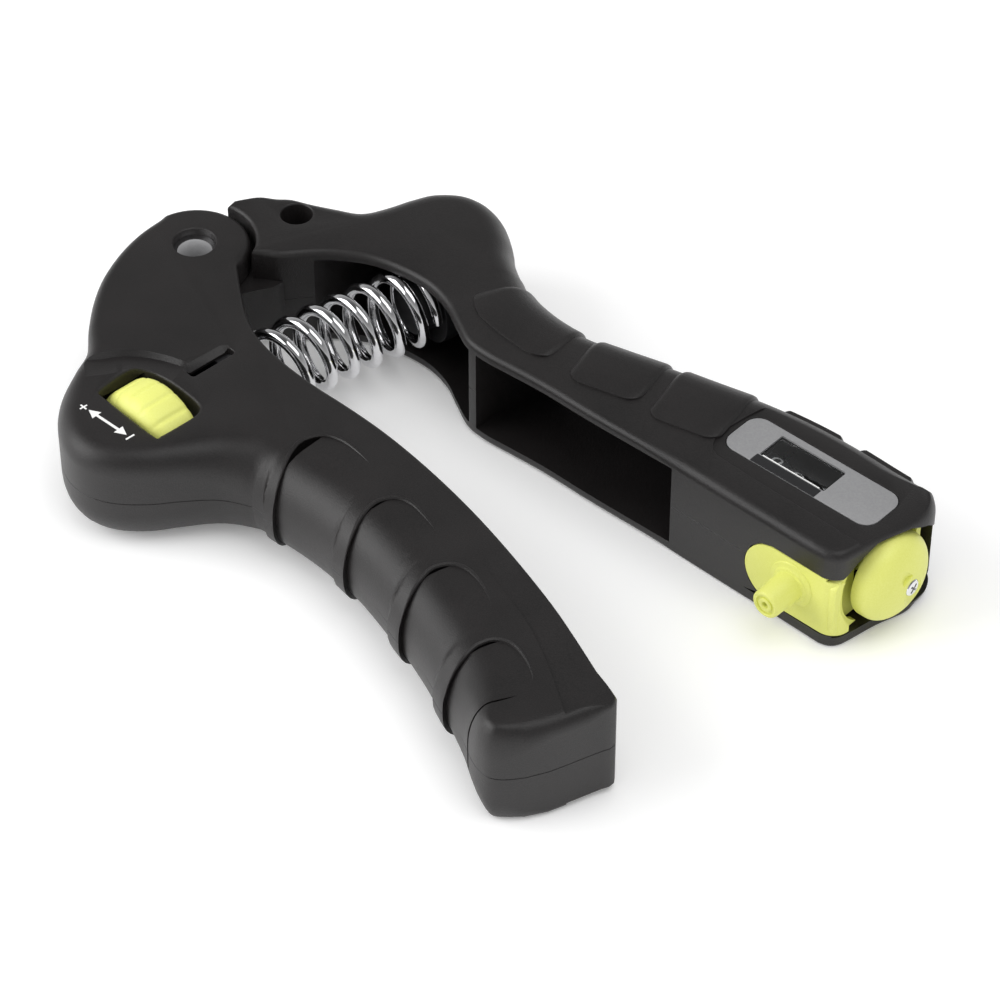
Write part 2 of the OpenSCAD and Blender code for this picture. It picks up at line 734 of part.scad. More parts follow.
module stub_rod(y0, y1, r0, r1)
    in_housing() translate([stub_x, y1, stub_z]) rotate([90, 0, 0])
        cylinder(r1 = r1, r2 = r0, h = y1 - y0, $fn = 96);

stub_foot = -1.3;
stub_end = stub_foot - stub_len;

module counter_button() color(lime) {
    difference() {
        union() {
            in_housing() {
                translate([0, bracket_inner, 0]) rotate([90, 0, 0])
                    linear_extrude(bracket_t) side_flat();
                difference() {
                    across(end_plate_x, end_plate_t) polygon(bracket_end);
                    translate([end_plate_x - cut, line_y, line_z]) rotate([0, 90, 0])
                        cylinder(r = knob_hole_r, h = end_plate_t + 2 * cut, $fn = 128);
                    // the ring is open above the knob
                    translate([end_plate_x - cut, 9, line_z]) cube([end_plate_t + 2 * cut, 7.5, 20]);
                }
                // plate behind the knob and its two flanges
                difference() {
                    translate([back_plate_x, 0, bracket_z0])
                        cube([back_plate_t, far_side, bracket_z1 - bracket_z0]);
                    translate([back_plate_x - cut, line_y - 5, line_z - 3.4])
                        cube([back_plate_t + 2 * cut, 10, 6.8]);
                }
                translate([back_plate_x, far_side - 1.5, bracket_z0])
                    cube([end_plate_x + end_plate_t - back_plate_x, 1.5, bracket_z1 - bracket_z0]);
            }
            stub_rod(stub_foot, 0, 4.2, 4.2);
            stub_rod(stub_end, stub_foot, stub_r - 0.2, stub_r + 0.1);
        }
        stub_rod(stub_end - cut, stub_end + 2, 0.6, 0.6);
    }
}

module button_spring() color(steel)
    difference() {
        stub_rod(bracket_inner + 0.05, spring_pad_y - 0.05, button_spring_r, button_spring_r);
        stub_rod(bracket_inner - cut, spring_pad_y + cut, button_spring_r - 0.6, button_spring_r - 0.6);
    }

// --- Reset knob ---------------------------------------------------------------------------------

knob_x = back_plate_x + back_plate_t + knob_travel + gap;
knob_rim = 2.4;
shaft_r = 2.4;
sleeve_r = 3.1;
sleeve_x0 = right_plate + plate_t + 1.6 + knob_travel;
sleeve_x1 = sleeve_x0 + 2.2;
screw_sink = 0.5;

module reset_knob() color(lime)
    difference() {
        union() {
            lying(knob_x)
                rotate_extrude($fn = 128)
                    polygon(concat([[0, 0], [knob_r - 0.6, 0], [knob_r, 0.6]],
                        [for (a = [0 : 9 : 81])
                            [knob_r * cos(a), knob_rim + (knob_len - knob_rim) * sin(a)]],
                        [[0, knob_len]]));
            round_rod(sleeve_x0, knob_x + 1, shaft_r);
        }
        // groove and notch that divide the knob's two lobes
        lying(knob_x + knob_len + 0.8) rotate([90, 0, 28]) translate([0, 0, 2.5])
            cylinder(r = 1.8, h = knob_r, $fn = 48);
        lying(knob_x + knob_len + 1.6) rotate([90, 0, 190]) translate([0, 0, 1])
            cylinder(r = 3.2, h = knob_r, $fn = 48);
        round_rod(knob_x + knob_len - screw_sink, knob_x + knob_len + cut, screw_r + fit);
        round_rod(knob_x + knob_len - 5, knob_x + knob_len, 0.9);
    }

module knob_screw() color(steel)
    difference() {
        union() {
            round_rod(knob_x + knob_len - screw_sink, knob_x + knob_len + 0.3, screw_r);
            round_rod(knob_x + knob_len - 4.8, knob_x + knob_len - screw_sink, 0.85);
        }
        for (a = [45, 135])
            lying(knob_x + knob_len - 0.2) rotate(a) translate([-1.1, -0.25, 0])
                cube([2.2, 0.5, cut]);
    }

module reset_sleeve() color(silver)
    difference() {
        union() {
            round_rod(sleeve_x0, sleeve_x1, sleeve_r);
            // key that stops the sleeve from turning
            in_housing() translate([sleeve_x0, line_y - 0.8, line_z - sleeve_r - 1])
                cube([sleeve_x1 - sleeve_x0, 1.6, 2]);
        }
        round_rod(sleeve_x0 - cut, sleeve_x1 + cut, shaft_r + fit);
    }

module knob_spring() color(steel)
    difference() {
        round_rod(right_plate + plate_t + 0.55, sleeve_x0 - 0.05, 2.3);
        round_rod(right_plate, sleeve_x0 + cut, 1.7);
    }

// --- Display ------------------------------------------------------------------------------------

module label_plate() color(silver) in_housing()
    translate([label_x, label_y, counter_t - pocket])
        linear_extrude(label_t)
            difference() {
                window_flat(label_l, label_w, 3);
                translate([display_x - label_x, display_y - label_y])
                    window_flat(display_l, display_w, 0.4);
            }

lens_t = 1;

module display_lens() color("lightblue") in_housing()
    translate([display_x, display_y, counter_t - pocket - lens_t])
        linear_extrude(lens_t) window_flat(display_l - 0.1, display_w - 0.1, 0.4);

// --- Counter handle -----------------------------------------------------------------------------

chamber_x0 = left_plate - 1.2;
chamber_y0 = 2.4;
mouth_y = 10;
shelf_z = 14;
shelf_t = 1.6;
web_x = 61;
web_t = 2.2;
channel_end = 111.5;
hang_at = [7.8, 20.1];

// Hollow under the hump, with the spring inside, and the hollow beyond the web
spring_hollow = [[19.4, mouth_y - 3], [19, 24], [18, 38], [21, 44.2], [25.5, 48.2], [29.5, 49.4],
    [34, 48.3], [39, 45.2], [43.5, 41.8], [49.5, 38.6], [55, 36.6], [web_x - web_t / 2, 35.6],
    [web_x - web_t / 2, mouth_y]];
long_hollow = [[web_x + web_t / 2, mouth_y], [web_x + web_t / 2, 35], [72, 35.4], [81, 38.2],
    [90, 41.3], [100, 44.4], [channel_end - 1, 47.4], [channel_end - 1, 30], [channel_end, mouth_y]];

module hollow(p) translate([0, 0, bottom_plate]) linear_extrude(roof_z - bottom_plate) polygon(p);

module counter_handle() color(black) {
    at_pivot() {
        difference() {
            union() {
                slab(counter_outline, counter_rises, counter_t);
                translate([0, 0, tongue_low]) linear_extrude(tongue_high - tongue_low) tongue_flat(0);
            }
            translate([0, 0, -cut]) cylinder(r = pin_r + fit, h = counter_t + 2 * cut, $fn = 96);
            translate([hang_at[0], hang_at[1], -cut])
                cylinder(r = hang_d / 2, h = counter_t + 2 * cut, $fn = 96);
            hollow(spring_hollow);
            difference() {
                hollow(long_hollow);
                // shelf along the back of the long hollow
                translate([0, 0, shelf_z]) linear_extrude(shelf_t)
                    polygon([[web_x, 27], [web_x, 60], [channel_end, 60], [channel_end, 36]]);
            }
            translate([-pivot_x, -pivot_y, 0]) housing_cuts();
        }
        // post behind the spring cup
        intersection() {
            difference() {
                at_cup() translate([0, 0, cup_t]) cylinder(r = post_r, h = post_len, $fn = 96);
                at_cup() translate([0, 0, cup_t - cut]) cylinder(r = 3 + fit, h = 6 + cut, $fn = 64);
            }
            translate([0, 0, bottom_plate]) linear_extrude(roof_z - bottom_plate)
                polygon([[10, 25], [10, 45], [29, 50.5], [36, 49.5], [55, 40], [55, 25]]);
        }
    }
}

module housing_cuts() {
    in_housing() {
        // chamber of the counter
        translate([chamber_x0, chamber_y0, bottom_plate])
            cube([end_plate_x + 10 - chamber_x0, chamber_y1 - chamber_y0, 17 - bottom_plate]);
        translate([chamber_x0, chamber_y0, bottom_plate])
            cube([back_plate_x + 0.5 - chamber_x0, chamber_y1 - chamber_y0, roof_z - bottom_plate]);
        across(back_plate_x - 0.5, 20) polygon(opening);
        // opening in the inner wall for the side plate
        translate([bracket_x0 - gap, -5, bracket_z0 - gap])
            cube([60, 5 + chamber_y0 + cut, bracket_z1 - bracket_z0 + 2 * gap]);
        // display window and pocket for the label
        translate([display_x, display_y, roof_z - cut])
            linear_extrude(top_plate + 2 * cut) window_flat(display_l, display_w, 0.4);
        translate([label_x, label_y, counter_t - pocket])
            linear_extrude(pocket + cut) window_flat(label_l + 0.2, label_w + 0.2, 3);
    }
}

palm_handle();
counter_handle();
pivot_pin();
pivot_cap();
pivot_washers();
grip_spring();
spring_cup();
spring_seat();
adjuster_screw();
thumbwheel();
thrust_washers();
counter_frame();
units_wheel();
tens_wheel();
hundreds_wheel();
wheel_axle();
tens_pinion();
hundreds_pinion();
pinion_axle();
drive_pawl();
hold_pawl();
counter_button();
button_spring();
reset_sleeve();
reset_knob();
knob_screw();
knob_spring();
label_plate();
display_lens();
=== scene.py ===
import math

import bmesh
import bpy
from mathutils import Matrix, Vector
from mathutils.bvhtree import BVHTree


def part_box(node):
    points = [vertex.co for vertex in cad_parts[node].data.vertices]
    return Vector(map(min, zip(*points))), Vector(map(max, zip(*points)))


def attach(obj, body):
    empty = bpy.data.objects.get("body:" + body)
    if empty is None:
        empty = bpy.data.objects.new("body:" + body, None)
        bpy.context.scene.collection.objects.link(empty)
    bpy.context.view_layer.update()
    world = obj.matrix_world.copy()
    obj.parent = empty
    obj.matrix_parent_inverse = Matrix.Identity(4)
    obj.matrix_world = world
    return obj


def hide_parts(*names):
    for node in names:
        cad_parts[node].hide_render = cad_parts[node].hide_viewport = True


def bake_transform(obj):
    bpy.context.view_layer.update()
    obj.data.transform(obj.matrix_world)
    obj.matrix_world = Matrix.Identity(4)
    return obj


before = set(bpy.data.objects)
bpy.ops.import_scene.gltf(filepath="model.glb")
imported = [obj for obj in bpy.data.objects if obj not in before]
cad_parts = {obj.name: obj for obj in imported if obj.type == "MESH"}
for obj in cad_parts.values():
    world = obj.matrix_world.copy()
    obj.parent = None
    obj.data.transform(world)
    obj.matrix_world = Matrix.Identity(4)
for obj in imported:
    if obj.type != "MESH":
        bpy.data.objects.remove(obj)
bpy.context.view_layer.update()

MM = 0.001

# --- Places ---------------------------------------------------------------------------------------
# Lengths are in millimetres. The handles are laid out from the pivot, the counter from its housing.

pin_low, pin_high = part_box("pivot_pin")
PIVOT = Vector(((pin_low[0] + pin_high[0]) / 2, (pin_low[1] + pin_high[1]) / 2, 0))
PALM_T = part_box("palm_handle")[1][2] / MM
COUNTER_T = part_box("counter_handle")[1][2] / MM
HOUSING_AT = (130, 25.2)
HOUSING_TURN = math.radians(4.8)


def spot(x, y, z):
    return PIVOT + Vector((x, y, z)) * MM


def housed(u, v, z):
    c, s = math.cos(HOUSING_TURN), math.sin(HOUSING_TURN)
    return spot(HOUSING_AT[0] + u * c - v * s, HOUSING_AT[1] + u * s + v * c, z)


# --- Modelling tools ------------------------------------------------------------------------------

def only(*pieces):
    bpy.ops.object.select_all(action="DESELECT")
    for piece in pieces:
        piece.select_set(True)
    bpy.context.view_layer.objects.active = pieces[0]


def lofted(name, rings):
    """A circle pulled to the first ring and extruded from ring to ring, closed at both ends."""
    bpy.ops.object.select_all(action="DESELECT")
    bpy.ops.mesh.primitive_circle_add(vertices=len(rings[0]), radius=MM, fill_type="NGON")
    piece = bpy.context.object
    piece.name = name
    bpy.ops.object.mode_set(mode="EDIT")
    bpy.ops.mesh.select_mode(type="FACE")
    bpy.ops.mesh.select_all(action="SELECT")
    for i, ring in enumerate(rings):
        if i:
            bpy.ops.mesh.extrude_region_move()
        mesh = bmesh.from_edit_mesh(piece.data)
        cap = next(face for face in mesh.faces if face.select)
        for corner, place in zip(cap.verts, ring):
            corner.co = place
        bmesh.update_edit_mesh(piece.data)
    bpy.ops.mesh.select_all(action="SELECT")
    bpy.ops.mesh.normals_make_consistent(inside=False)
    bpy.ops.object.mode_set(mode="OBJECT")
    return piece


def carve(piece, *cutters, operation="DIFFERENCE"):
    for cutter in cutters:
        only(piece)
        cut = piece.modifiers.new("Cut", "BOOLEAN")
        cut.operation = operation
        cut.solver = "EXACT"
        cut.object = cutter
        bpy.ops.object.modifier_apply(modifier=cut.name)
        bpy.data.objects.remove(cutter)
    return piece


def joined(name, *pieces):
    only(*pieces)
    if len(pieces) > 1:
        bpy.ops.object.join()
    pieces[0].name = name
    return pieces[0]


def smoothed(piece, angle=32):
    only(piece)
    bpy.ops.object.shade_smooth_by_angle(angle=math.radians(angle))
    return piece


def bevelled(piece, width, segments=2, angle=40):
    only(piece)
    edge = piece.modifiers.new("Rim", "BEVEL")
    edge.width = width * MM
    edge.segments = segments
    edge.limit_method = "ANGLE"
    edge.angle_limit = math.radians(angle)
    edge.harden_normals = False
    bpy.ops.object.modifier_apply(modifier=edge.name)
    return piece


# --- Lines ----------------------------------------------------------------------------------------

def between(a, b, c, d, t):
    """A value on the smooth curve from b to c; every coordinate of the points is carried along."""
    return tuple(0.5 * (2 * q + (r - p) * t + (2 * p - 5 * q + 4 * r - s) * t * t
                        + (3 * q - p - 3 * r + s) * t ** 3)
                 for p, q, r, s in zip(a, b, c, d))


def on_curve(points, place):
    i = min(int(place), len(points) - 2)
    last = len(points) - 1
    return between(points[max(i - 1, 0)], points[i], points[i + 1], points[min(i + 2, last)],
                   place - i)


def curve(points, steps, closing=False):
    line = [on_curve(points, k / steps) for k in range((len(points) - 1) * steps)]
    return line + [points[-1]] if closing else line


def edged(points, inset, height, under=1):
    """Outline points with the width and height of the edge's rounding; under scales the lower edge's.
    The last value is a place on the finger line, or -1 elsewhere."""
    return [(x, y, inset, height, under, -1) for x, y in points]


def outward(line, i):
    (x0, y0), (x1, y1) = line[i - 1][:2], line[(i + 1) % len(line)][:2]
    return Vector((y1 - y0, x0 - x1)).normalized()


def grown(line, amount):
    """A closed outline moved outwards."""
    return [tuple(Vector(line[i][:2]) + outward(line, i) * amount) for i in range(len(line))]


def rounded(length, width, radius, steps=6, at=(0, 0)):
    """Outline of a rounded rectangle round a middle point."""
    line = []
    for k, (sx, sy) in enumerate(((1, 1), (-1, 1), (-1, -1), (1, -1))):
        for j in range(steps + 1):
            a = math.pi / 2 * (k + j / steps)
            line.append((at[0] + sx * (length / 2 - radius) + radius * math.cos(a),
                         at[1] + sy * (width / 2 - radius) + radius * math.sin(a)))
    return line


def circle(radius, count, at=(0, 0)):
    return [(at[0] + radius * math.cos(math.tau * k / count),
             at[1] + radius * math.sin(math.tau * k / count)) for k in range(count)]


# Angles on the quarter round of an edge
QUARTER = [math.radians(a) for a in (0, 8, 17, 26, 36, 46, 56, 67, 78, 90)]
# The parting line's section: height from the middle, distance outwards
PARTING = ((-0.13, 0), (0, -0.1), (0.13, 0))


def handle_slab(name, line, thick, swell=lambda place, angle: 0):
    """A slab with rounded edges above and below and a fine parting line at half its height."""
    def ring(angle, top):
        out = []
        for i, (x, y, inset, height, under, place) in enumerate(line):
            scale = 1 if top else under
            move = swell(place, angle) - inset * scale * (1 - math.cos(angle))
            z = height * scale * (1 - math.sin(angle))
            n = outward(line, i)
            out.append(spot(x + n.x * move, y + n.y * move, thick - z if top else z))
        return out

    def seam(dz, move):
        return [spot(x + outward(line, i).x * (swell(place, 0) + move),
                     y + outward(line, i).y * (swell(place, 0) + move), thick / 2 + dz)
                for i, (x, y, inset, height, under, place) in enumerate(line)]

    rings = [ring(a, False) for a in reversed(QUARTER)]
    rings += [seam(dz, move) for dz, move in PARTING]
    rings += [ring(a, True) for a in QUARTER]
    return lofted(name, rings)


def prism(name, line, low, high, place=spot):
    return lofted(name, [[place(x, y, z) for x, y in line] for z in (low, high)])


def well(name, line, low, top, rim, place=spot):
    """A cutter whose wall flares in a quarter round as it meets the surface at height top."""
    rings = [[place(x, y, low) for x, y in line]]
    for a in (0, 22.5, 45, 67.5, 90):
        a = math.radians(a)
        wide = grown(line, rim * (1 - math.cos(a)))
        rings.append([place(x, y, top - rim + rim * math.sin(a)) for x, y in wide])
    rings.append([place(x, y, top + 1) for x, y in grown(line, rim)])
    return lofted(name, rings)


def plate(name, line, low, high, rim, place=spot):
    """A flat plate with both rims rounded."""
    quarter = [math.radians(a) for a in (90, 60, 30, 0)]
    rings = [[place(x, y, low + rim * (1 - math.sin(a))) for x, y in grown(line, -rim * (1 - math.cos(a)))]
             for a in quarter]
    rings += [[place(x, y, high - rim * (1 - math.sin(a)))
               for x, y in grown(line, -rim * (1 - math.cos(a)))] for a in reversed(quarter)]
    return lofted(name, rings)


def turned(name, profile, place, count=96):
    """A lathe shape: profile is [radius, distance along the axis]; place maps the circle's two
    coordinates and that distance."""
    return lofted(name, [[place(x, y, h) for x, y in circle(r, count)] for r, h in profile])


def tube(name, centres, radii, sides=12):
    """A round bar along a line of points, which may thin out."""
    rings = []
    side = None
    for i, c in enumerate(centres):
        along = (centres[min(i + 1, len(centres) - 1)] - centres[max(i - 1, 0)]).normalized()
        side = along.orthogonal() if side is None else side - along * side.dot(along)
        side.normalize()
        other = along.cross(side)
        rings.append([c + (side * math.cos(math.tau * k / sides)
                           + other * math.sin(math.tau * k / sides)) * radii[i]
                      for k in range(sides)])
    return lofted(name, rings)


# --- Palm handle ----------------------------------------------------------------------------------

SPRING_X = 31
AXIS_Z = 12.3
FINGER_INSET, FINGER_HEIGHT = 9.5, 10.6
EAR_R = 11.1
EAR_T = 5.6
COLLAR_RISE = 0.9
COLLAR_WIDE = 0.44             # width of a collar and of the step it starts with, as places
COLLAR_STEP = 0.09
COLLAR_FADE = 0.6              # a collar's rise dies away over this many places behind its lip
COLLAR_DROP = 0.22

ear = edged(circle(EAR_R, 90), 1.5, 1.5)[4:44]
head = (edged([(-11.1, 0), (-10.4, -6), (-8.4, -12.5), (-4.9, -19.5), (-0.4, -25.5), (5, -31)], 2.2, 2.4)
        + edged([(10, -35.5), (13, -40.8)], 3, 3.2, 1.3)
        + edged([(16.2, -46.8), (21, -51.5), (26.8, -54.5), (32.5, -55), (38, -52.8), (43, -48.1)],
                4.4, 4.8, 1.7)
        + edged([(47, -42.5)], 5, 5.6, 1.6)
        + edged([(51.5, -37.2)], 6.5, 7.4, 1.35)
        + edged([(57, -34)], 8.6, 9.6, 1.1))
fingers = (edged([(57, -34)], 8.6, 9.6, 1.1)
           + edged([(63.6, -33.5), (73.4, -32.8), (83.2, -33.4), (92.7, -35), (102.2, -37.2),
                    (111.4, -39.9), (120.6, -43.2)], FINGER_INSET, FINGER_HEIGHT)
           + edged([(128.2, -45.9)], 6.4, 9.4)
           + edged([(132.4, -47.8)], 3.8, 8.8)
           + edged([(135.4, -48.8)], 2.9, 7.8)
           + edged([(138.3, -48.8), (140.6, -47.2)], 2.9, 7, 0.7)
           + edged([(142.8, -44.1)], 3, 5, 0.55))
palm_end = (edged([(144.6, -40), (145.7, -36.1), (146.6, -32.6)], 3, 3.2, 0.5)
            + edged([(147.4, -29.8)], 1.7, 2)
            + edged([(147.9, -28.3), (147.8, -27), (147, -26), (145.6, -25.5)], 1.2, 1.4)
            + edged([(143.4, -25)], 0.9, 1))
palm_inner = edged([(140, -24.2), (132, -21.4), (124, -18.8), (115, -16.4), (105, -14.1), (95, -12.2),
                    (85, -10.8), (75, -9.9), (66, -9.6), (57, -9.9), (48, -10.5), (39, -10.4),
                    (31, -9.4), (24.5, -7), (18, -3), (11.1, 1.8)], 0.9, 0.9)

LIPS = (1, 3, 5, 7)            # places of the four lips along the finger line


def lean(place):
    """How far a collar leans back by the time it reaches the top."""
    return 0.5 - 0.03 * place


def collar_rise(place, angle):
    """Height of the handle's own surface on the finger side: a flat band stands up before each lip."""
    if place < 0:
        return 0
    place += lean(place) * (1 - math.cos(angle))
    before = [lip for lip in LIPS if lip <= place]
    after = [lip for lip in LIPS if lip > place]
    rise = 0
    if after:
        t = min(1, max(0, (place - after[0] + COLLAR_WIDE) / COLLAR_STEP))
        rise = COLLAR_RISE * t * t * (3 - 2 * t)
    if before:
        rise = max(rise, COLLAR_RISE * (1 - (place - before[-1]) / COLLAR_FADE))
    return rise * math.cos(angle)


finger_line = []
for at in [k / 20 for k in range(8 * 20)] + [8 + k / 4 for k in range((len(fingers) - 9) * 4)]:
    x, y, inset, height, under, _ = on_curve(fingers, at)
    finger_line.append((x, y, inset, height, under, at))
finger_line.append(fingers[-1])

palm_line = ear + curve(head, 5) + finger_line + palm_end + curve(palm_inner, 4, True)
palm_body = handle_slab("palm_body", palm_line, PALM_T, collar_rise)

# Each finger panel starts low behind its lip and comes up to the next collar. Its outline on top
# runs up from the lip, round an apex and back down beside the next collar.
PANEL_WIDE = 21
PANEL_FLOOR = 0.25
PANEL_PLACES = 2               # length of a panel along the finger line; the last one is shorter
LAST_PANEL_PLACES = 1.5
BEAD_R = 0.46
BEAD_SUNK = 0.2
PANELS = (
    [(64.3, -39), (63.7, -35.4), (61.6, -30.4), (59.5, -25.9), (58.8, -22.3), (60.4, -18.8),
     (63.8, -17.2), (68.4, -17.1), (73, -18), (75.9, -20.2), (77.3, -24.5), (78.3, -30),
     (79.4, -35), (80, -39)],
    [(83.6, -39), (83.4, -35.4), (82.4, -31.6), (81.2, -27.6), (80.9, -23.6), (82.5, -20.4),
     (85.8, -19.2), (90.5, -19.9), (94.6, -21.2), (96.8, -23.6), (97.8, -28), (98, -33),
     (98.4, -37), (98.8, -42)],
    [(104.1, -43), (102.9, -38.8), (101.9, -34.8), (101.1, -31), (101, -27.7), (102.7, -24.7),
     (105.9, -23.5), (110.3, -24.3), (114.6, -26.3), (116.9, -28.9), (117.2, -33), (116.7, -38),
     (116.4, -42), (117, -47)],
    [(123.9, -51), (121.7, -46), (121, -42), (120.7, -38.6), (120.8, -35.2), (122.3, -32),
     (125.8, -30.7), (130.6, -32), (134.2, -34.2), (135.4, -37), (134.4, -41), (132.6, -45),
     (131.2, -49), (131, -54)],
)


def panel_core(number, lip):
    """The lowered skin of one panel, lofted along the finger line."""
    rings = []
    last = lip == LIPS[-1]
    for k in range(26):
        s = -0.12 + 1.2 * k / 25
        place = lip + (LAST_PANEL_PLACES if last else PANEL_PLACES) * s
        x, y, inset, height, under, _ = on_curve(fingers, max(0, place))
        nx, ny = finger_normal(max(0, place))

        def risen(a):
            if last:
                return (max(0, s) / 0.95) ** 1.4
            return (max(0, s + lean(place) / 2 * (1 - math.cos(a))) / (1 - COLLAR_WIDE / 2)) ** 1.4

        drop = PANEL_FLOOR - (PANEL_FLOOR + 0.02) * risen(math.pi / 2)
        low = [(((COLLAR_DROP + 0.02) * risen(a) - COLLAR_DROP) * math.cos(a) - inset * (1 - math.cos(a)),
                height - (height - drop) * math.sin(a)) for a in reversed(QUARTER)]
        section = ([(-PANEL_WIDE, drop)] + low + [(h, PALM_T - z) for h, z in reversed(low)]
                   + [(-PANEL_WIDE, PALM_T - drop)])
        rings.append([spot(x + nx * h, y + ny * h, z) for h, z in section])
    return lofted("panel_core_%d" % number, rings)


def finger_normal(place):
    a, b = on_curve(fingers, max(0, place - 0.05)), on_curve(fingers, place + 0.05)
    n = Vector((b[1] - a[1], a[0] - b[0])).normalized()
    return n.x, n.y


palm_top = BVHTree.FromObject(palm_body, bpy.context.evaluated_depsgraph_get())
beads = []
for number, (lip, outline) in enumerate(zip(LIPS, PANELS)):
    line = curve(outline, 6, True)
    pocket = prism("panel_%d" % number, line, -1, PALM_T + 1)
    carve(pocket, panel_core(number, lip))
    carve(palm_body, pocket)
    # rolled edge along the top of the outline
    crest = [palm_top.ray_cast(spot(x, y, PALM_T + 5), Vector((0, 0, -1)))[0]
             for x, y in curve(outline[1:10], 5, True)]
    crest = [c - Vector((0, 0, BEAD_SUNK * MM)) for c in crest if c]
    n = len(crest)
    beads.append(tube("bead_%d" % number, crest,
                      [MM * BEAD_R * min(1, 0.25 + 4 * k / n, 0.1 + 2.2 * (n - 1 - k) / n)
                       for k in range(n)], 8))

CHAMBER_BACK, CHAMBER_FRONT = -42.1, -31.5
WINDOW_Y = (CHAMBER_BACK + CHAMBER_FRONT) / 2
window_w = CHAMBER_FRONT - CHAMBER_BACK
window = curve([(22.3, -42.1), (21.8, -41.2), (21, -36), (21.2, -33.2), (22.6, -31.7), (26, -30.6),
                (31, -30.2), (37, -30.4), (38.9, -31.3), (39.6, -33.2), (39.7, -37), (39.6, -41.3),
                (39.1, -42.1), (31, -42.2), (22.3, -42.1)][::-1], 4)
carve(palm_body, well("window", window, AXIS_Z, PALM_T, 0.75))


def lowered(name, line, sections, side=1):
    """A cutter over (or, at side -1, under) the handle: at each point of the line a section of
    [distance to its left, depth below the surface]."""
    rings = []
    for i, (x, y) in enumerate(line):
        along = (Vector(line[min(i + 1, len(line) - 1)]) - Vector(line[max(i - 1, 0)])).normalized()
        rings.append([spot(x - along.y * h, y + along.x * h, PALM_T - d if side > 0 else d)
                      for h, d in sections[i]])
    return lofted(name, rings)


# Step that curves over the head from its edge to the pointer slot, facing the wheel
band = curve([(11.6, -37.6), (13.5, -34.6), (15.6, -31), (18.6, -28.2), (22.6, -25.9), (27.4, -24.2)],
             5, True)
band_depth = [1.0 * math.sin(math.pi * min(1, 0.12 + 0.8 * k / (len(band) - 1))) ** 0.5
              for k in range(len(band))]
carve(palm_body, lowered("head_step", band, [
    [(0, -1), (0, 0), (-0.9, d), (-1.5, d), (-6.5, 0.02 * d), (-6.5, -1)] for d in band_depth]))

# The inner strip of the handle lies lower than the finger side, along a fine crease
crease = curve([(103, -19.8), (110.7, -21.8), (117.4, -23.5), (123.9, -25.5), (132, -29.1), (140, -33.5),
                (143.4, -35.4), (151, -39.6)], 4, True)


def strip(depth, start, fade):
    return [[(0, -1), (0, depth * min(1, max(0.01, (x - start) / fade))),
             (22, depth * min(1, max(0.01, (x - start) / fade))), (22, -1)] for x, y in crease]


carve(palm_body, lowered("top_strip", crease, strip(0.3, 104, 13)),
      lowered("under_strip", crease, strip(1.4, 110, 12), -1))


def lying_along_y(x, z):
    """Place on a lathe line that runs along +Y through x and z."""
    return lambda a, b, h: spot(x + a, h, z + b)


on_axis = lying_along_y(SPRING_X, AXIS_Z)
carve(palm_body,
      turned("wheel_chamber", [(12.35, CHAMBER_BACK), (12.35, CHAMBER_FRONT)], on_axis),
      turned("spring_bore", [(9, -27.3), (9, -10.2), (9.6, -9.6), (10.5, 0)], on_axis),
      prism("bottom_window", rounded(11, window_w, 2, at=(SPRING_X, WINDOW_Y)), -1, AXIS_Z))

# Slot for the tension pointer
slot = rounded(2.2, 10.6, 0.7, at=(30, -20.9))
slot_bevel = ((-26.4, [(28.9, -1), (28.4, 0.02), (28.95, 0.1), (29.2, -1)]),
              (-25.2, [(27.2, -1), (27.3, 0.02), (28.95, 1), (29.2, -1)]),
              (-16.6, [(27.4, -1), (27.5, 0.02), (28.95, 1), (29.2, -1)]),
              (-15.2, [(28.9, -1), (28.5, 0.02), (28.95, 0.1), (29.2, -1)]))
carve(palm_body, well("pointer_slot", slot, PALM_T - 2.4, PALM_T, 0.25),
      prism("pointer_way", rounded(1.5, 7, 0.7, at=(30.2, -22)), AXIS_Z, PALM_T),
      lofted("slot_bevel", [[spot(x, y, PALM_T - d) for x, d in section] for y, section in slot_bevel]))

# Pivot: bore, head recess, nut recess and the slot that takes the other handle's tongue
BORE_R = 3.56
upright = lambda a, b, h: spot(a, b, h)
carve(palm_body,
      turned("pin_bore", [(BORE_R, -1), (BORE_R, PALM_T)], upright),
      turned("head_recess", [(4.26, PALM_T - 5), (4.26, PALM_T - 0.35), (4.34, PALM_T - 0.15),
                             (4.55, PALM_T), (4.55, PALM_T + 1)], upright),
      turned("nut_recess", [(6.06, -1), (6.06, 1.5)], upright))
tongue_room = [(12, -4), (18.6, -5), (18.6, 14), (-14, 14), (-14, 1.5), (-11.6, 0)] + [
    (11.4 * math.cos(math.radians(a)), 11.4 * math.sin(math.radians(a))) for a in range(190, 336, 6)]
carve(palm_body, prism("tongue_room", tongue_room, EAR_T, PALM_T - EAR_T))
palm_body = joined("palm_body", palm_body, *beads)
smoothed(palm_body)

# --- Grip spring ----------------------------------------------------------------------------------

WIRE_R = 1.2
COIL_R = 7.4
TURNS = 8
END_PITCH = 2.9
CLOSED = 0.75
SPRING_LEN = 41
SPRING_START = -12.5
SPRING_BEND = math.radians(12)
FREE_PITCH = (SPRING_LEN - 2 * CLOSED * END_PITCH) / (TURNS - 2 * CLOSED)
BEND_R = SPRING_LEN / SPRING_BEND


def advance(turn):
    """Distance along the spring's arc after some turns."""
    if turn < CLOSED:
        return turn * END_PITCH
    if turn > TURNS - CLOSED:
        return SPRING_LEN - (TURNS - turn) * END_PITCH
    return CLOSED * END_PITCH + (turn - CLOSED) * FREE_PITCH


def arc_place(distance):
    bend = SPRING_BEND * distance / SPRING_LEN
    return (Vector((SPRING_X + BEND_R * (1 - math.cos(bend)),
                    SPRING_START + BEND_R * math.sin(bend), AXIS_Z)),
            math.pi / 2 - bend)


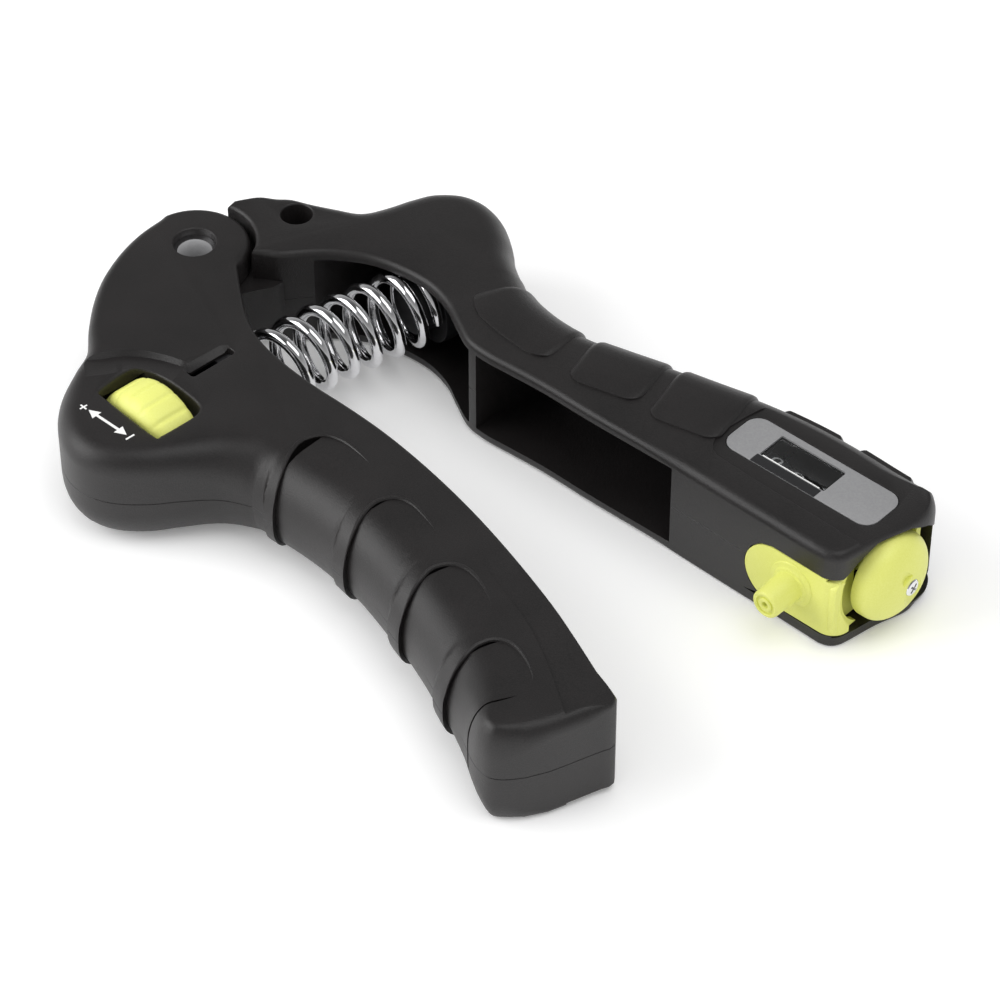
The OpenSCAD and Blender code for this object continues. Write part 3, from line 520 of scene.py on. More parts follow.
def coil_point(turn):
    middle, heading = arc_place(advance(turn))
    a = -math.tau * turn
    return middle + COIL_R * Vector((math.cos(a) * math.sin(heading),
                                     -math.cos(a) * math.cos(heading), math.sin(a)))


RINGS_A_TURN = 36
wire = [coil_point(TURNS * k / (TURNS * RINGS_A_TURN)) for k in range(TURNS * RINGS_A_TURN + 1)]
wire_r = [WIRE_R * MM] * len(wire)
wire_r[0] = wire_r[-1] = 0.7 * WIRE_R * MM
wire_r[1] = wire_r[-2] = 0.93 * WIRE_R * MM
coil = smoothed(tube("grip_coil", [spot(*c) for c in wire], wire_r, 16), 60)

# --- Preload wheel --------------------------------------------------------------------------------

WHEEL_R = 12
WHEEL_BACK = CHAMBER_BACK + 0.5
TEETH = 18
TOOTH_DEPTH = 0.3


def toothed(radius, depth):
    """One ring of the wheel: broad teeth with narrow rounded valleys."""
    steps = 14
    line = []
    for k in range(TEETH * steps):
        share = (k % steps) / steps
        dip = max(0, math.cos(math.tau * share)) ** 4
        r = radius - depth * dip
        a = math.tau * k / (TEETH * steps)
        line.append((r * math.cos(a), r * math.sin(a)))
    return line


wheel_rings = []
for inset, along, depth in ((9, 0, 0), (3.4, 0, 0), (2.6, 0.1, 0), (1.7, 0.5, 0.1), (0.9, 1.1, 0.3),
                            (0.3, 1.9, 0.7), (0, 2.9, 1), (0, 8, 1), (0.15, 8.7, 0.9),
                            (0.6, 9.25, 0.5), (1.2, 9.5, 0), (2, 9.6, 0), (9, 9.6, 0)):
    wheel_rings.append([on_axis(a, b, WHEEL_BACK + along)
                        for a, b in toothed(WHEEL_R - inset, TOOTH_DEPTH * depth)])
wheel = smoothed(lofted("preload_wheel", wheel_rings), 35)

# --- Pivot ----------------------------------------------------------------------------------------

PIN_TOP = pin_high[2] / MM
PIN_R = 4.2
DOME_ANGLE = 0.4               # the dome is a low cap, this far up its sphere
dome_r = PIN_R / math.sin(DOME_ANGLE)
dome = [(dome_r * math.sin(a), PIN_TOP - dome_r * (1 - math.cos(a)))
        for a in [DOME_ANGLE * (12 - k) / 12 for k in range(12)]]
pin = smoothed(turned("pivot_rivet", [(3.1, 0.5), (3.5, 0.9), (3.5, PALM_T - 5), (PIN_R, PALM_T - 5)]
                      + dome + [(0.05, PIN_TOP)], upright), 50)

# --- Counter handle -------------------------------------------------------------------------------

OUTER_ROUND = 6.5
FLOOR_T = 2.4
ROOF_Z = COUNTER_T - 2.2
PAD_RISE = 0.9
PAD_TOP = 0.45                 # how far a pad stands up on the top
PAD_LOW = 0.02                 # its lower edge stays this far above the floor
PAST_WALL = 0.5                # cutters run this far past the walls they end on
RECESS_R = EAR_R + 1.1

counter_inner = (edged([(13.2, 8), (15.6, 9.8), (18.6, 13.9), (22.4, 18), (28, 21.9), (34.5, 24),
                        (41.5, 24.8), (48, 23.7), (53.5, 21.3), (59.3, 18.9), (64.7, 18.7),
                        (70, 19.4), (79, 20.6), (91, 21.5), (103, 22.7)], 1.4, 1.4)
                 + edged([(113, 23.7), (125, 24.5), (136, 25.3), (143.4, 25.8)], 2.2, 2.2, 0.35))
housing_end = (edged([(147.4, 26.1), (149.3, 26.9), (150.5, 28.5), (151, 31), (151.7, 37.5), (153, 43.5)],
                     1.7, 2, 0.35)
               + edged([(153.5, 46.5), (153, 49.4), (151.5, 51.9), (149.6, 53.5)], 2, 3.6))
outer_side = (edged([(147.6, 54.4)], 3.6, OUTER_ROUND - 1)
              + edged([(140, 54.9), (130, 54.4), (120, 53.2), (110, 51.1), (100, 48), (90, 44.9),
                       (81, 41.8), (73, 39.3), (65, 38.5), (57, 39.5), (50.5, 42.4)],
                      OUTER_ROUND, OUTER_ROUND))
hump = (edged([(50.5, 42.4), (45.3, 45.2), (40.7, 48.7), (35.1, 51.8), (29.1, 52.8), (23.6, 51.2),
               (19, 46.8), (16.8, 41.6), (15.3, 36.2), (13.4, 32)], 6, 7.4)
        + edged([(10.6, 28.7)], 4, 4.6)
        + edged([(6.4, 25.6)], 3, 3.4)
        + edged([(3, 23.2), (0.6, 21)], 2, 2.2)
        + edged([(-1.6, 18.5), (-3.2, 15.9)], 1, 1)
        + edged([(-3.9, 13.7)], 0.5, 0.7))
recess_arc = edged([(RECESS_R * math.cos(math.radians(a)), RECESS_R * math.sin(math.radians(a)))
                    for a in [107, 100] + list(range(95, 36, -4)) + [29]], 1, 1)
counter_line = (curve(counter_inner, 5, True) + curve(housing_end, 4, True)
                + curve(outer_side, 6) + curve(hump, 5, True) + recess_arc)
counter_body = handle_slab("counter_body", counter_line, COUNTER_T)

TONGUE_LOW, TONGUE_HIGH = EAR_T + 0.6, PALM_T - EAR_T - 0.6
tongue = [(11 * math.cos(math.radians(a)), 11 * math.sin(math.radians(a)))
          for a in range(172, 344, 6)] + [(15.5, 7), (15.5, 13), (-3, 14)]
carve(counter_body, prism("tongue", tongue, TONGUE_LOW, TONGUE_HIGH), operation="UNION")

WEB_X = 61
spring_hollow = ([(19.4, 7), (19, 24)]
                 + curve([(18.6, 32), (18.8, 38), (21.4, 43.6), (25.5, 47.4), (29.5, 48.6), (34, 47.6),
                          (39, 44.8), (43.5, 41.6), (49.5, 38.4), (55, 36.4), (59.9, 35.4)], 4, True)
                 + [(WEB_X - 1.1, 7)])
long_hollow = ([(WEB_X + 1.1, 7), (WEB_X + 1.1, 34.4)]
               + curve([(63.6, 35), (72, 35.6), (81, 38.2), (90, 41.3), (100, 44.4), (110.5, 47.4)], 4, True)
               + [(110.5, 30), (111.5, 7)])
channel = carve(prism("long_hollow", long_hollow, FLOOR_T, ROOF_Z),
                prism("shelf", [(60, 27), (60, 60), (112, 60), (112, 36)], 14, 15.6))
carve(counter_body, channel,
      prism("spring_hollow", spring_hollow, FLOOR_T, ROOF_Z),
      turned("pivot_bore", [(BORE_R, -1), (BORE_R, COUNTER_T + 1)], upright, 48))
hang_line = circle(3.2, 48, at=(7.8, 20.1))
carve(counter_body, well("hang_hole", hang_line, -1, COUNTER_T, 0.5))

# Housing of the counter: chamber, end opening, opening for the button, display and label pocket
LINE_V, LINE_Z = 12.8, 12
DISPLAY = dict(length=15.4, width=6.8, at=(-0.9, 15.9))
LABEL = dict(length=35.4, width=10.8, at=(1.6, 15.4))
LABEL_BED = COUNTER_T - 0.35   # the top round the label is a shallow bed
along_u = lambda a, b, h: housed(h, a, b)
through_wall = lambda a, b, h: housed(a, h, b)
end_opening = [(0.4, FLOOR_T), (0.4, 16.8), (1.6, 17.2), (4.5, 19.8), (9, 22), (16.5, 22),
               (20.8, 20.3), (26, 16), (26, FLOOR_T)]
carve(counter_body,
      prism("counter_room", [(-17, 2.4), (17.7, 2.4), (17.7, 26), (-17, 26)], FLOOR_T, ROOF_Z, housed),
      prism("end_opening", end_opening, 16.7, 40, along_u),
      prism("button_opening", [(-0.9, 2.8), (60, 2.8), (60, 17.2), (5.4, 17.2), (2.6, 16.3),
                               (0.5, 14.3), (-0.7, 11.7), (-0.95, 10), (-0.7, 8), (0.4, 5.5),
                               (2.6, 3.6)], -5, 3.4, through_wall),
      prism("display_opening", rounded(DISPLAY["length"], DISPLAY["width"], 0.4,
                                       at=DISPLAY["at"]), ROOF_Z - 1, COUNTER_T + 1, housed),
      well("label_recess", [(111.4, 36.3), (111.8, 34), (112.7, 32.4), (113.9, 31.2), (115.5, 30.7),
                            (125.7, 31.1), (139.5, 32.1), (149.5, 32.7), (156, 33), (156, 60), (114, 60),
                            (112.6, 50), (111.6, 42)], LABEL_BED, COUNTER_T, 0.2),
      well("label_pocket", rounded(LABEL["length"] + 0.3, LABEL["width"] + 0.3, 3,
                                   at=LABEL["at"]), LABEL_BED - 0.4, LABEL_BED, 0.1, housed))

# Pads of the outer side: each is a skin lofted along it, with rounded ends and corners

def outer_place(x):
    """Place along the outer side's line, from its distance along the handle."""
    i = next(i for i in range(1, len(outer_side) - 1) if outer_side[i + 1][0] <= x)
    return i + (outer_side[i][0] - x) / (outer_side[i][0] - outer_side[i + 1][0])


def pad(name, x0, x1, reach, top=True):
    """reach is how far the pad runs over the top, measured inwards from the outer side."""
    rings = []
    corner = 3.2
    for k in range(25):
        t = k / 24
        share = 0.5 - 0.5 * math.cos(math.pi * t)
        x = x1 + (x0 - x1) * share
        edge = min(x - x0, x1 - x)
        back = corner - math.sqrt(max(0, corner ** 2 - max(0, corner - edge) ** 2))
        lift = PAD_RISE * min(1, 0.15 + edge / 0.9)
        place = outer_place(x)
        px, py, inset, height, _, _ = on_curve(outer_side, place)
        a, b = on_curve(outer_side, place - 0.05), on_curve(outer_side, place + 0.05)
        n = Vector((b[1] - a[1], a[0] - b[0])).normalized()
        high = PAD_TOP * min(1, 0.1 + edge / 0.7)
        inner = reach - back
        over = [(lift * math.cos(a) - inset * (1 - math.cos(a)),
                 COUNTER_T + high - (height + high) * (1 - math.sin(a))) for a in QUARTER]
        under = [(h, max(PAD_LOW, COUNTER_T - z)) for h, z in reversed(over)]
        if not top:
            over = [(h, z) for h, z in over[:5]]
            under = [(h, COUNTER_T - z) for h, z in reversed(over)]
        section = ([(over[-1][0] - 1 if not top else -inner + 0.45, under[0][1])] + under + over
                   + ([(-inner + 0.45, COUNTER_T + high), (-inner + 0.1, COUNTER_T + high - 0.12),
                       (-inner, COUNTER_T + high - 0.5), (-inner + 0.3, COUNTER_T - 1)] if top else
                      [(over[-1][0] - 1, over[-1][1])]))
        rings.append([spot(px + n.x * h, py + n.y * h, z) for h, z in section])
    return lofted(name, rings)


pads = [pad("pad_1", 55.3, 72, 14), pad("pad_2", 75.6, 90.2, 16), pad("pad_3", 93, 107.8, 18.2)]
for skin in pads:
    carve(skin, *(prism("hollow", grown(room, -PAST_WALL), FLOOR_T - PAST_WALL, ROOF_Z + PAST_WALL)
                  for room in (long_hollow, spring_hollow)))
pads += [pad("pad_4", 113.5, 126.5, 5, False), pad("pad_5", 131, 144, 5, False)]
counter_body = smoothed(joined("counter_body", counter_body, *pads))

# --- Counter button -------------------------------------------------------------------------------

STUB_U, STUB_Z = 10.4, 11
LOW_Z, HIGH_Z = 3.1, 17
SIDE_R = (HIGH_Z - LOW_Z) / 2
BEND_U, BEND_V = 17.5, 3.4     # middle of the round corner between the button's face and its end
KNOB_HOLE_R = 11.9
knob_line = lambda a, b, h: housed(h, LINE_V + a, LINE_Z + b)


def arc(middle, radius, start, end, steps):
    return [(middle[0] + radius * math.cos(math.radians(start + (end - start) * k / steps)),
             middle[1] + radius * math.sin(math.radians(start + (end - start) * k / steps)))
            for k in range(steps + 1)]


bent = ([(-0.64, -0.5)] + arc((BEND_U, BEND_V), 3.9, -90, 0, 10) + arc((BEND_U, BEND_V), 2.1, 0, -90, 10)
        + [(-0.64, 1.3)])
face_plate = carve(prism("face_plate", bent, LOW_Z, HIGH_Z, housed),
                   prism("round_end", [(SIDE_R - 0.64, 2), (SIDE_R - 0.64, LOW_Z)]
                         + arc((SIDE_R - 0.64, LOW_Z + SIDE_R), SIDE_R, 270, 90, 24)[1:-1]
                         + [(SIDE_R - 0.64, HIGH_Z), (SIDE_R - 0.64, 19), (-2, 19), (-2, 2)],
                         -2, 3, through_wall),
                   prism("end_top", [(18.2, 16.4), (23, 16.4), (23, 19), (18.2, 19)], -2, 5, through_wall),
                   turned("knob_hole", [(KNOB_HOLE_R, 16), (KNOB_HOLE_R, 23)], knob_line))
bevelled(face_plate, 0.4, 3, 50)
near_arm = bevelled(prism("near_arm", [(7, 20.7), (4.8, 19.6), (2, 17.1), (0.8, 16.4), (-0.3, 15), (-0.3, 5),
                                       (0.4, 3.4), (2, 2.9)]
                          + arc((LINE_V, LINE_Z), 10.9, 237, 126, 16), 19, 20.5, along_u), 0.2, 2, 50)
far_arm = bevelled(prism("far_arm", [(24.3, 4), (24.3, 16), (20.6, 18.9), (18, 20.6), (15.8, 21.3)]
                         + arc((LINE_V, LINE_Z), 10.3, 66, -46, 16) + [(21.4, 3.2)], 19, 20.5, along_u),
                   0.2, 2, 50)
back_plate = carve(prism("back_plate", [(0, 3.1), (23.9, 3.1), (23.9, 16.4), (0, 16.4)],
                         17.2, 18.4, along_u),
                   prism("sleeve_gap", [(7.8, 8.6), (17.8, 8.6), (17.8, 15.4), (7.8, 15.4)], 17, 19,
                         along_u))
flange = bevelled(prism("far_flange", [(17.2, 3.1), (21.4, 3.1), (21.4, 16.4), (17.2, 16.4)],
                        22.5, 24, through_wall), 0.3, 2, 50)
stub_line = lambda a, b, h: housed(STUB_U + a, h, STUB_Z + b)
stub = turned("stub", [(3, 0.5), (4.9, 0.2), (4.9, -0.55), (4.75, -0.75), (4.2, -0.85), (3.9, -1.0),
                       (3.75, -1.3), (3.2, -1.45), (3.12, -1.9), (2.98, -7.5), (2.85, -8.05),
                       (2.55, -8.3), (2.2, -8.3), (2.05, -8.15), (2.0, -7.9), (1.55, -7.9),
                       (1.5, -8.15), (1.3, -8.3), (0.85, -8.3), (0.7, -8.2), (0.6, -7.9),
                       (0.6, -6.6)], stub_line)
button = smoothed(joined("counter_press", face_plate, near_arm, far_arm, back_plate, flange, stub))

# --- Reset knob -----------------------------------------------------------------------------------

KNOB_U = 20.7
KNOB_R = 9.2
KNOB_LEN = 7.6
KNOB_RIM = 2.4
knob = turned("knob", [(2.4, 16), (2.4, KNOB_U), (KNOB_R - 0.7, KNOB_U), (KNOB_R - 0.2, KNOB_U + 0.2),
                       (KNOB_R, KNOB_U + 0.7)]
              + [(KNOB_R * math.cos(a), KNOB_U + KNOB_RIM + (KNOB_LEN - KNOB_RIM) * math.sin(a))
                 for a in [math.radians(5 * k) for k in range(18)]], knob_line, 128)
SCREW_U = KNOB_U + KNOB_LEN


def across_knob(angle):
    """A line that runs outwards from the knob's middle, square to its axis."""
    c, s = math.cos(math.radians(angle)), math.sin(math.radians(angle))
    return lambda a, b, h: knob_line(h * c - a * s, h * s + a * c, SCREW_U + b)


carve(knob, turned("valley", [(1.8, 2.5), (1.8, 12)],
                   lambda a, b, h: across_knob(117)(a, b + 0.8, h), 48),
      turned("notch", [(3.2, 1), (3.2, 12)],
             lambda a, b, h: across_knob(-70)(a, b + 1.6, h), 48),
      turned("screw_seat", [(1.76, SCREW_U - 0.5), (1.76, SCREW_U + 2)], knob_line, 48))
smoothed(knob, 40)

screw = turned("knob_fixing", [(0.85, SCREW_U - 4.8), (0.85, SCREW_U - 0.5), (1.7, SCREW_U - 0.5),
                               (1.7, SCREW_U - 0.1), (1.55, SCREW_U + 0.12),
                               (1.1, SCREW_U + 0.26), (0.5, SCREW_U + 0.3)], knob_line, 48)
for turn in (45, 135):
    c, s = math.cos(math.radians(turn)), math.sin(math.radians(turn))
    carve(screw, prism("cross_%d" % turn, [(-1.05, -0.22), (1.05, -0.22), (1.05, 0.22), (-1.05, 0.22)],
                       SCREW_U - 0.35, SCREW_U + 1,
                       lambda a, b, h: knob_line(a * c - b * s, a * s + b * c, h)))
smoothed(screw)

# --- Display --------------------------------------------------------------------------------------

label = carve(plate("label_face", rounded(LABEL["length"], LABEL["width"], 3, at=LABEL["at"]),
                    LABEL_BED - 0.4, LABEL_BED + 0.03, 0.08, housed),
              prism("label_window", rounded(DISPLAY["length"], DISPLAY["width"], 0.4, at=DISPLAY["at"]),
                    COUNTER_T - 1, COUNTER_T + 1, housed))
smoothed(label)
strip_print = smoothed(plate("label_strip", rounded(15.3, 2.3, 0.15, 3, at=(-1.25, 11.15)), LABEL_BED,
                             LABEL_BED + 0.06, 0.02, housed))
# A thin white line on the display window's near edge: a painted highlight standing for the light that edge
# catches
window_edge_highlight = smoothed(plate("painted_window_edge_highlight", rounded(13.6, 0.22, 0.1, 3, at=(-1.1, 12.6)), LABEL_BED - 0.2,
                            LABEL_BED + 0.07, 0.02, housed))
lens = smoothed(plate("display_window", rounded(DISPLAY["length"] - 0.1, DISPLAY["width"] - 0.1, 0.4,
                                                at=DISPLAY["at"]),
                      COUNTER_T - 1.5, COUNTER_T - 0.55, 0.25, housed))

# Figures 0 to 9 round each number wheel, printed and wrapped on to it
NUMBER_R = 8.4
NUMBER_SHOWN = math.radians(21)
FIGURE_SIZE = 4.6
FIGURE_CUTS = (-1.2, -0.8, -0.4, 0, 0.4, 0.8, 1.2)


def numbered(wheel_node):
    low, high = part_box(wheel_node)
    middle = ((Vector(low) + Vector(high)) / 2 - PIVOT) / MM
    u = ((middle.x - HOUSING_AT[0]) * math.cos(HOUSING_TURN)
         + (middle.y - HOUSING_AT[1]) * math.sin(HOUSING_TURN))
    figures = []
    for value in range(10):
        bpy.ops.object.select_all(action="DESELECT")
        bpy.ops.object.text_add()
        figure = bpy.context.object
        figure.data.body = str(value)
        figure.data.size = FIGURE_SIZE
        figure.data.align_x = "CENTER"
        figure.data.align_y = "CENTER"
        figure.data.extrude = 0.02
        bpy.ops.object.convert(target="MESH")
        bpy.ops.object.mode_set(mode="EDIT")
        for y in FIGURE_CUTS:
            bpy.ops.mesh.select_all(action="SELECT")
            bpy.ops.mesh.bisect(plane_co=(0, y, 0), plane_no=(0, 1, 0))
        bpy.ops.object.mode_set(mode="OBJECT")
        for point in figure.data.vertices:
            x, y, lift = point.co
            a = NUMBER_SHOWN + math.radians(36 * value) + y / NUMBER_R
            r = NUMBER_R + 0.03 + lift
            point.co = housed(u + x, LINE_V + r * math.sin(a), LINE_Z + r * math.cos(a))
        figures.append(figure)
    return joined(wheel_node + "_figures", *figures)


figures = {name: numbered(name + "_wheel") for name in ("units", "tens", "hundreds")}

# --- Painted marks --------------------------------------------------------------------------------

palm_skin = BVHTree.FromObject(palm_body, bpy.context.evaluated_depsgraph_get())


def painted(name, line, thickness=0.04):
    def at_skin(x, y, lift):
        hit = palm_skin.ray_cast(spot(x, y, PALM_T + 5), Vector((0, 0, -1)))[0]
        return hit + Vector((0, 0, lift * MM))
    return lofted(name, [[at_skin(x, y, -0.1) for x, y in line],
                         [at_skin(x, y, thickness) for x, y in line]])


arrow_from, arrow_to = Vector((24.9, -46.7)), Vector((35.3, -45.9))
forward = (arrow_to - arrow_from).normalized()
side = Vector((-forward.y, forward.x))
head_l, head_w, shaft_w = 2.3, 1.15, 0.28
arrow = [arrow_from, arrow_from + forward * head_l - side * head_w,
         arrow_from + forward * head_l - side * shaft_w, arrow_to - forward * head_l - side * shaft_w,
         arrow_to - forward * head_l - side * head_w, arrow_to, arrow_to - forward * head_l + side * head_w,
         arrow_to - forward * head_l + side * shaft_w, arrow_from + forward * head_l + side * shaft_w,
         arrow_from + forward * head_l + side * head_w]
plus_at, minus_at = Vector((23.6, -46.9)), Vector((36.2, -45.8))
PLUS, STROKE = 0.85, 0.17
plus = [plus_at + Vector(c) for c in (
    (-PLUS, -STROKE), (-STROKE, -STROKE), (-STROKE, -PLUS), (STROKE, -PLUS), (STROKE, -STROKE),
    (PLUS, -STROKE), (PLUS, STROKE), (STROKE, STROKE), (STROKE, PLUS), (-STROKE, PLUS),
    (-STROKE, STROKE), (-PLUS, STROKE))]
minus = [minus_at + Vector(c) for c in ((-0.2, -1), (0.2, -1), (0.2, 1), (-0.2, 1))]
marks = joined("tension_marks", painted("arrow", arrow), painted("plus", plus), painted("minus", minus))

# --- Finishes -------------------------------------------------------------------------------------

def group(name, inputs, outputs):
    tree = bpy.data.node_groups.new(name, "ShaderNodeTree")
    for label_name, kind, value in inputs:
        socket = tree.interface.new_socket(name=label_name, in_out="INPUT", socket_type=kind)
        if value is not None:
            socket.default_value = value
    for label_name, kind in outputs:
        tree.interface.new_socket(name=label_name, in_out="OUTPUT", socket_type=kind)
    return tree, tree.nodes.new("NodeGroupInput"), tree.nodes.new("NodeGroupOutput")


FLOAT, COLOUR, VECTOR = "NodeSocketFloat", "NodeSocketColor", "NodeSocketVector"


def moulded_skin():
    """Fine spark-eroded grain of moulded plastic, with slow changes of tone and gloss."""
    tree, into, out = group(
        "Moulded skin",
        [("Colour", COLOUR, (0.5, 0.5, 0.5, 1)), ("Worn colour", COLOUR, (0.6, 0.6, 0.6, 1)),
         ("Gloss", FLOAT, 0.4), ("Gloss change", FLOAT, 0.08), ("Grain size", FLOAT, 3000),
         ("Grain depth", FLOAT, 0.2)],
        [("Colour", COLOUR), ("Roughness", FLOAT), ("Normal", VECTOR)])
    new, link = tree.nodes.new, tree.links.new
    place = new("ShaderNodeTexCoord")
    cloud = new("ShaderNodeTexNoise")
    cloud.inputs["Scale"].default_value = 70
    cloud.inputs["Detail"].default_value = 4
    grain = new("ShaderNodeTexNoise")
    grain.inputs["Detail"].default_value = 2
    link(place.outputs["Object"], cloud.inputs["Vector"])
    link(place.outputs["Object"], grain.inputs["Vector"])
    link(into.outputs["Grain size"], grain.inputs["Scale"])
    tone = new("ShaderNodeMix")
    tone.data_type = "RGBA"
    speck = new("ShaderNodeMapRange")
    for limit, value in (("From Min", 0.35), ("From Max", 0.7), ("To Min", -0.25), ("To Max", 0.55)):
        speck.inputs[limit].default_value = value
    both = new("ShaderNodeMath")
    both.operation = "ADD"
    both.use_clamp = True
    link(grain.outputs["Fac"], speck.inputs["Value"])
    link(cloud.outputs["Fac"], both.inputs[0])
    link(speck.outputs["Result"], both.inputs[1])
    link(both.outputs[0], tone.inputs["Factor"])
    link(into.outputs["Colour"], tone.inputs["A"])
    link(into.outputs["Worn colour"], tone.inputs["B"])
    change = new("ShaderNodeMath")
    change.operation = "MULTIPLY_ADD"
    link(cloud.outputs["Fac"], change.inputs[0])
    link(into.outputs["Gloss change"], change.inputs[1])
    link(into.outputs["Gloss"], change.inputs[2])
    bump = new("ShaderNodeBump")
    bump.inputs["Distance"].default_value = 0.00006
    link(grain.outputs["Fac"], bump.inputs["Height"])
    link(into.outputs["Grain depth"], bump.inputs["Strength"])
    link(tone.outputs["Result"], out.inputs["Colour"])
    link(change.outputs[0], out.inputs["Roughness"])
    link(bump.outputs["Normal"], out.inputs["Normal"])
    return tree


SKIN = moulded_skin()


def srgb(r, g, b):
    return tuple(c / 12.92 if c <= 0.04045 else ((c + 0.055) / 1.055) ** 2.4
                 for c in (r / 255, g / 255, b / 255)) + (1,)


def finish(name, colour, worn, gloss, gloss_change=0.08, grain=3000, depth=0.2, **shader):
    """A material: the moulded skin with its own values on a Principled surface."""
    made = bpy.data.materials.new(name)
    made.use_nodes = True
    nodes, link = made.node_tree.nodes, made.node_tree.links.new
    surface = nodes["Principled BSDF"]
    skin = nodes.new("ShaderNodeGroup")
    skin.node_tree = SKIN
    for socket, value in (("Colour", colour), ("Worn colour", worn), ("Gloss", gloss),
                          ("Gloss change", gloss_change), ("Grain size", grain),
                          ("Grain depth", depth)):
        skin.inputs[socket].default_value = value
    link(skin.outputs["Colour"], surface.inputs["Base Color"])
    link(skin.outputs["Roughness"], surface.inputs["Roughness"])
    link(skin.outputs["Normal"], surface.inputs["Normal"])
    for socket, value in shader.items():
        surface.inputs[socket.replace("_", " ")].default_value = value
    return made


black = finish("black plastic", srgb(18, 17, 17), srgb(35, 32, 32), 0.36, 0.12, 4200, 0.8)
lime = finish("lime plastic", srgb(230, 233, 118), srgb(235, 238, 131), 0.4, 0.1, 3500, 0.12)
chrome = finish("chrome", srgb(222, 222, 224), srgb(232, 232, 234), 0.06, 0.06, 900, 0.02, Metallic=1)
steel = finish("bright steel", srgb(196, 196, 200), srgb(206, 206, 208), 0.2, 0.12, 1500, 0.06, Metallic=1)
silver = finish("silver label", srgb(150, 150, 152), srgb(160, 160, 161), 0.4, 0.1, 2400, 0.1,
                Metallic=0.3)
white = finish("white paint", srgb(236, 236, 234), srgb(244, 244, 243), 0.5, 0.1, 3000, 0.1)
inner_black = finish("black nylon", srgb(24, 24, 26), srgb(32, 32, 34), 0.5, 0.1, 2600, 0.2)
clear = finish("clear lens", srgb(245, 247, 250), srgb(250, 251, 252), 0.03, 0.02, 800, 0.01,
               Transmission_Weight=1, IOR=1.49)

# --- What stands for what -------------------------------------------------------------------------

DRESSED = (
    (palm_body, black, "palm_side", "black_plastic", ["palm_handle"]),
    (counter_body, black, "counter_side", "black_plastic", ["counter_handle"]),
    (marks, white, "palm_side", "number_white", []),
    (wheel, lime, "preload_wheel", "lime_plastic", ["thumbwheel"]),
    (pin, chrome, "palm_side", "chrome", ["pivot_pin"]),
    (button, lime, "button", "lime_plastic", ["counter_button"]),
    (knob, lime, "reset_turner", "lime_plastic", ["reset_knob"]),
    (screw, chrome, "reset_turner", "chrome", ["knob_screw"]),
    (label, silver, "counter_side", "silver_label", ["label_plate"]),
    (strip_print, inner_black, "counter_side", "black_plastic", []),
    (window_edge_highlight, white, "counter_side", "number_white", []),
    (lens, clear, "counter_side", "clear_lens", ["display_lens"]),
    (figures["units"], white, "units", "number_white", []),
    (figures["tens"], white, "tens", "number_white", []),
    (figures["hundreds"], white, "hundreds", "number_white", []),
)
for piece, material, body, slot_name, nodes in DRESSED:
    piece.data.materials.clear()
    piece.data.materials.append(material)
    if nodes:
        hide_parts(*nodes)
    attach(piece, body)

coil.data.materials.append(chrome)
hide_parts("grip_spring")
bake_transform(coil)

NODE_FINISHES = {
    steel: ("pivot_cap", "thrust_washers", "adjuster_screw", "counter_frame", "wheel_axle",
            "pinion_axle", "drive_pawl", "hold_pawl", "button_spring", "knob_spring",
            "reset_sleeve", "pivot_washers"),
    inner_black: ("spring_cup", "spring_seat", "units_wheel", "tens_wheel", "hundreds_wheel",
                  "tens_pinion", "hundreds_pinion"),
}
for material, names in NODE_FINISHES.items():
    for name in names:
        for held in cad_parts[name].material_slots:
            held.material = material

# --- Stage, light and camera ----------------------------------------------------------------------

FLOOR_GLOW = 0.14              # lifts the floor to white where it is seen, mirrored or behind glass
SKY_LEVEL = 0.62
SKY_SIDE, SKY_ABOVE = 0.6, 0.08   # level that shiny surfaces see at the sides and overhead

bpy.ops.object.select_all(action="DESELECT")
bpy.ops.mesh.primitive_plane_add(size=8, location=(0, 0, 0))
floor = bpy.context.object
floor.name = "floor"
paper = bpy.data.materials.new("white paper")
paper.use_nodes = True
paper.node_tree.nodes["Principled BSDF"].inputs["Base Color"].default_value = (0.97, 0.97, 0.97, 1)
paper.node_tree.nodes["Principled BSDF"].inputs["Roughness"].default_value = 0.9
paper.node_tree.nodes["Principled BSDF"].inputs["Specular IOR Level"].default_value = 0
glow = paper.node_tree.nodes.new("ShaderNodeEmission")
seen = paper.node_tree.nodes.new("ShaderNodeLightPath")
faint = paper.node_tree.nodes.new("ShaderNodeMath")
faint.operation = "MULTIPLY"
faint.inputs[1].default_value = FLOOR_GLOW
looked_at = paper.node_tree.nodes.new("ShaderNodeMath")
looked_at.operation = "MAXIMUM"
looked_through = paper.node_tree.nodes.new("ShaderNodeMath")
looked_through.operation = "MAXIMUM"
sum_of = paper.node_tree.nodes.new("ShaderNodeAddShader")
paper_link = paper.node_tree.links.new
paper_link(seen.outputs["Is Camera Ray"], looked_at.inputs[0])
paper_link(seen.outputs["Is Glossy Ray"], looked_at.inputs[1])
paper_link(looked_at.outputs[0], looked_through.inputs[0])
paper_link(seen.outputs["Is Transmission Ray"], looked_through.inputs[1])
paper_link(looked_through.outputs[0], faint.inputs[0])
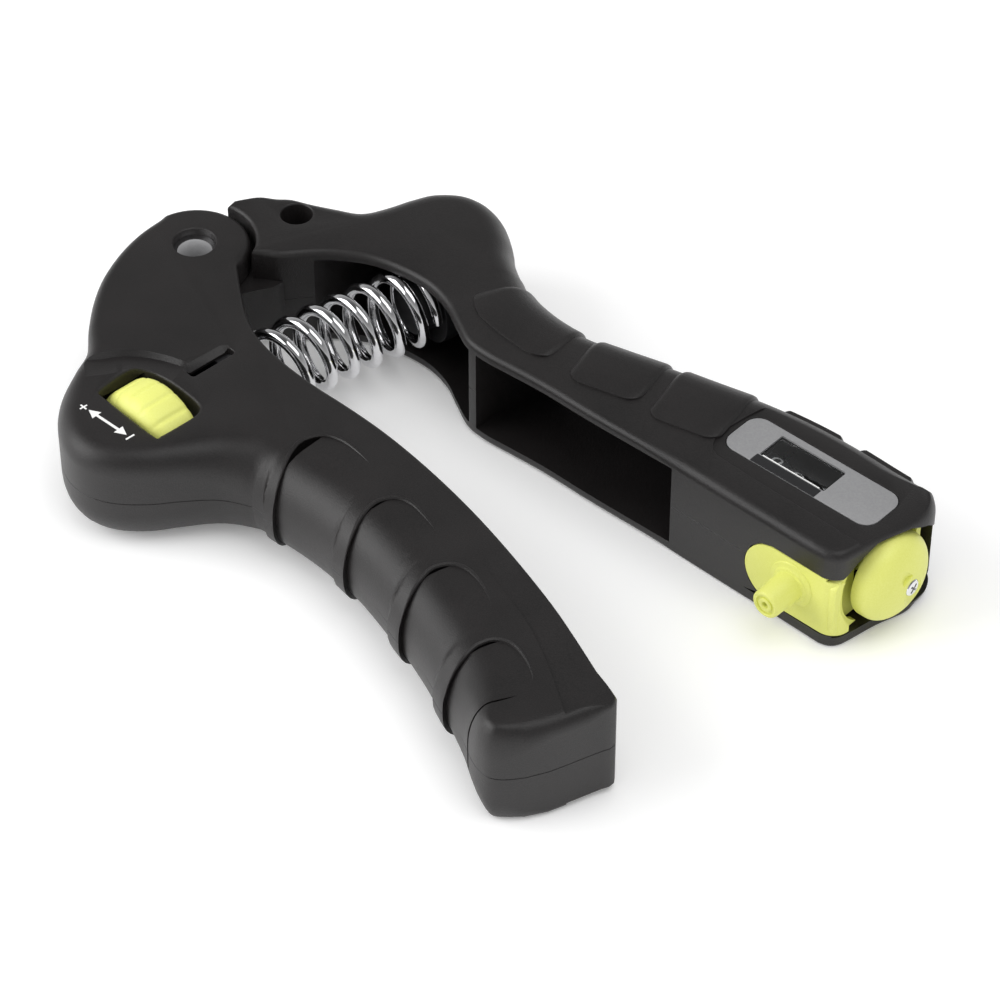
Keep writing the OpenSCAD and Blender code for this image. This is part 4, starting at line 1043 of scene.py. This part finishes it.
paper_link(faint.outputs[0], glow.inputs["Strength"])
paper_link(paper.node_tree.nodes["Principled BSDF"].outputs[0], sum_of.inputs[0])
paper_link(glow.outputs[0], sum_of.inputs[1])
paper_link(sum_of.outputs[0], paper.node_tree.nodes["Material Output"].inputs["Surface"])
floor.data.materials.append(paper)

sky = bpy.data.worlds.new("soft light")
bpy.context.scene.world = sky
sky.use_nodes = True
sky_nodes, sky_link = sky.node_tree.nodes, sky.node_tree.links.new
background = sky_nodes["Background"]
background.inputs["Color"].default_value = (1, 1, 1, 1)
rays = sky_nodes.new("ShaderNodeLightPath")
around = sky_nodes.new("ShaderNodeTexCoord")
height = sky_nodes.new("ShaderNodeSeparateXYZ")
shade = sky_nodes.new("ShaderNodeMapRange")
shade.inputs["To Min"].default_value = SKY_SIDE
shade.inputs["To Max"].default_value = SKY_ABOVE
level = sky_nodes.new("ShaderNodeMix")
level.inputs["A"].default_value = SKY_LEVEL
sky_link(around.outputs["Generated"], height.inputs["Vector"])
sky_link(height.outputs["Z"], shade.inputs["Value"])
sky_link(rays.outputs["Is Glossy Ray"], level.inputs["Factor"])
sky_link(shade.outputs["Result"], level.inputs["B"])
sky_link(level.outputs["Result"], background.inputs["Strength"])


def lamp(name, size, power, place, aim=(0, 0, 0.01)):
    made = bpy.data.objects.new(name, bpy.data.lights.new(name, "AREA"))
    made.data.size = size
    made.data.energy = power
    made.location = place
    made.rotation_euler = (Vector(aim) - Vector(place)).to_track_quat("-Z", "Y").to_euler()
    bpy.context.collection.objects.link(made)


lamp("key", 0.8, 6, (-0.535, -0.658, 0.475))
lamp("top", 1, 5, (0.35, 0.1, 1.2))

camera = bpy.data.objects.new("camera", bpy.data.cameras.new("camera"))
bpy.context.collection.objects.link(camera)
camera.data.sensor_width = 36
camera.data.lens = 144
camera.location = Vector((418.1, -375.4, 526.3)) * MM
camera.rotation_euler = (math.radians(47), 0, math.radians(47))
bpy.context.scene.camera = camera

bpy.context.scene.view_settings.view_transform = "Standard"
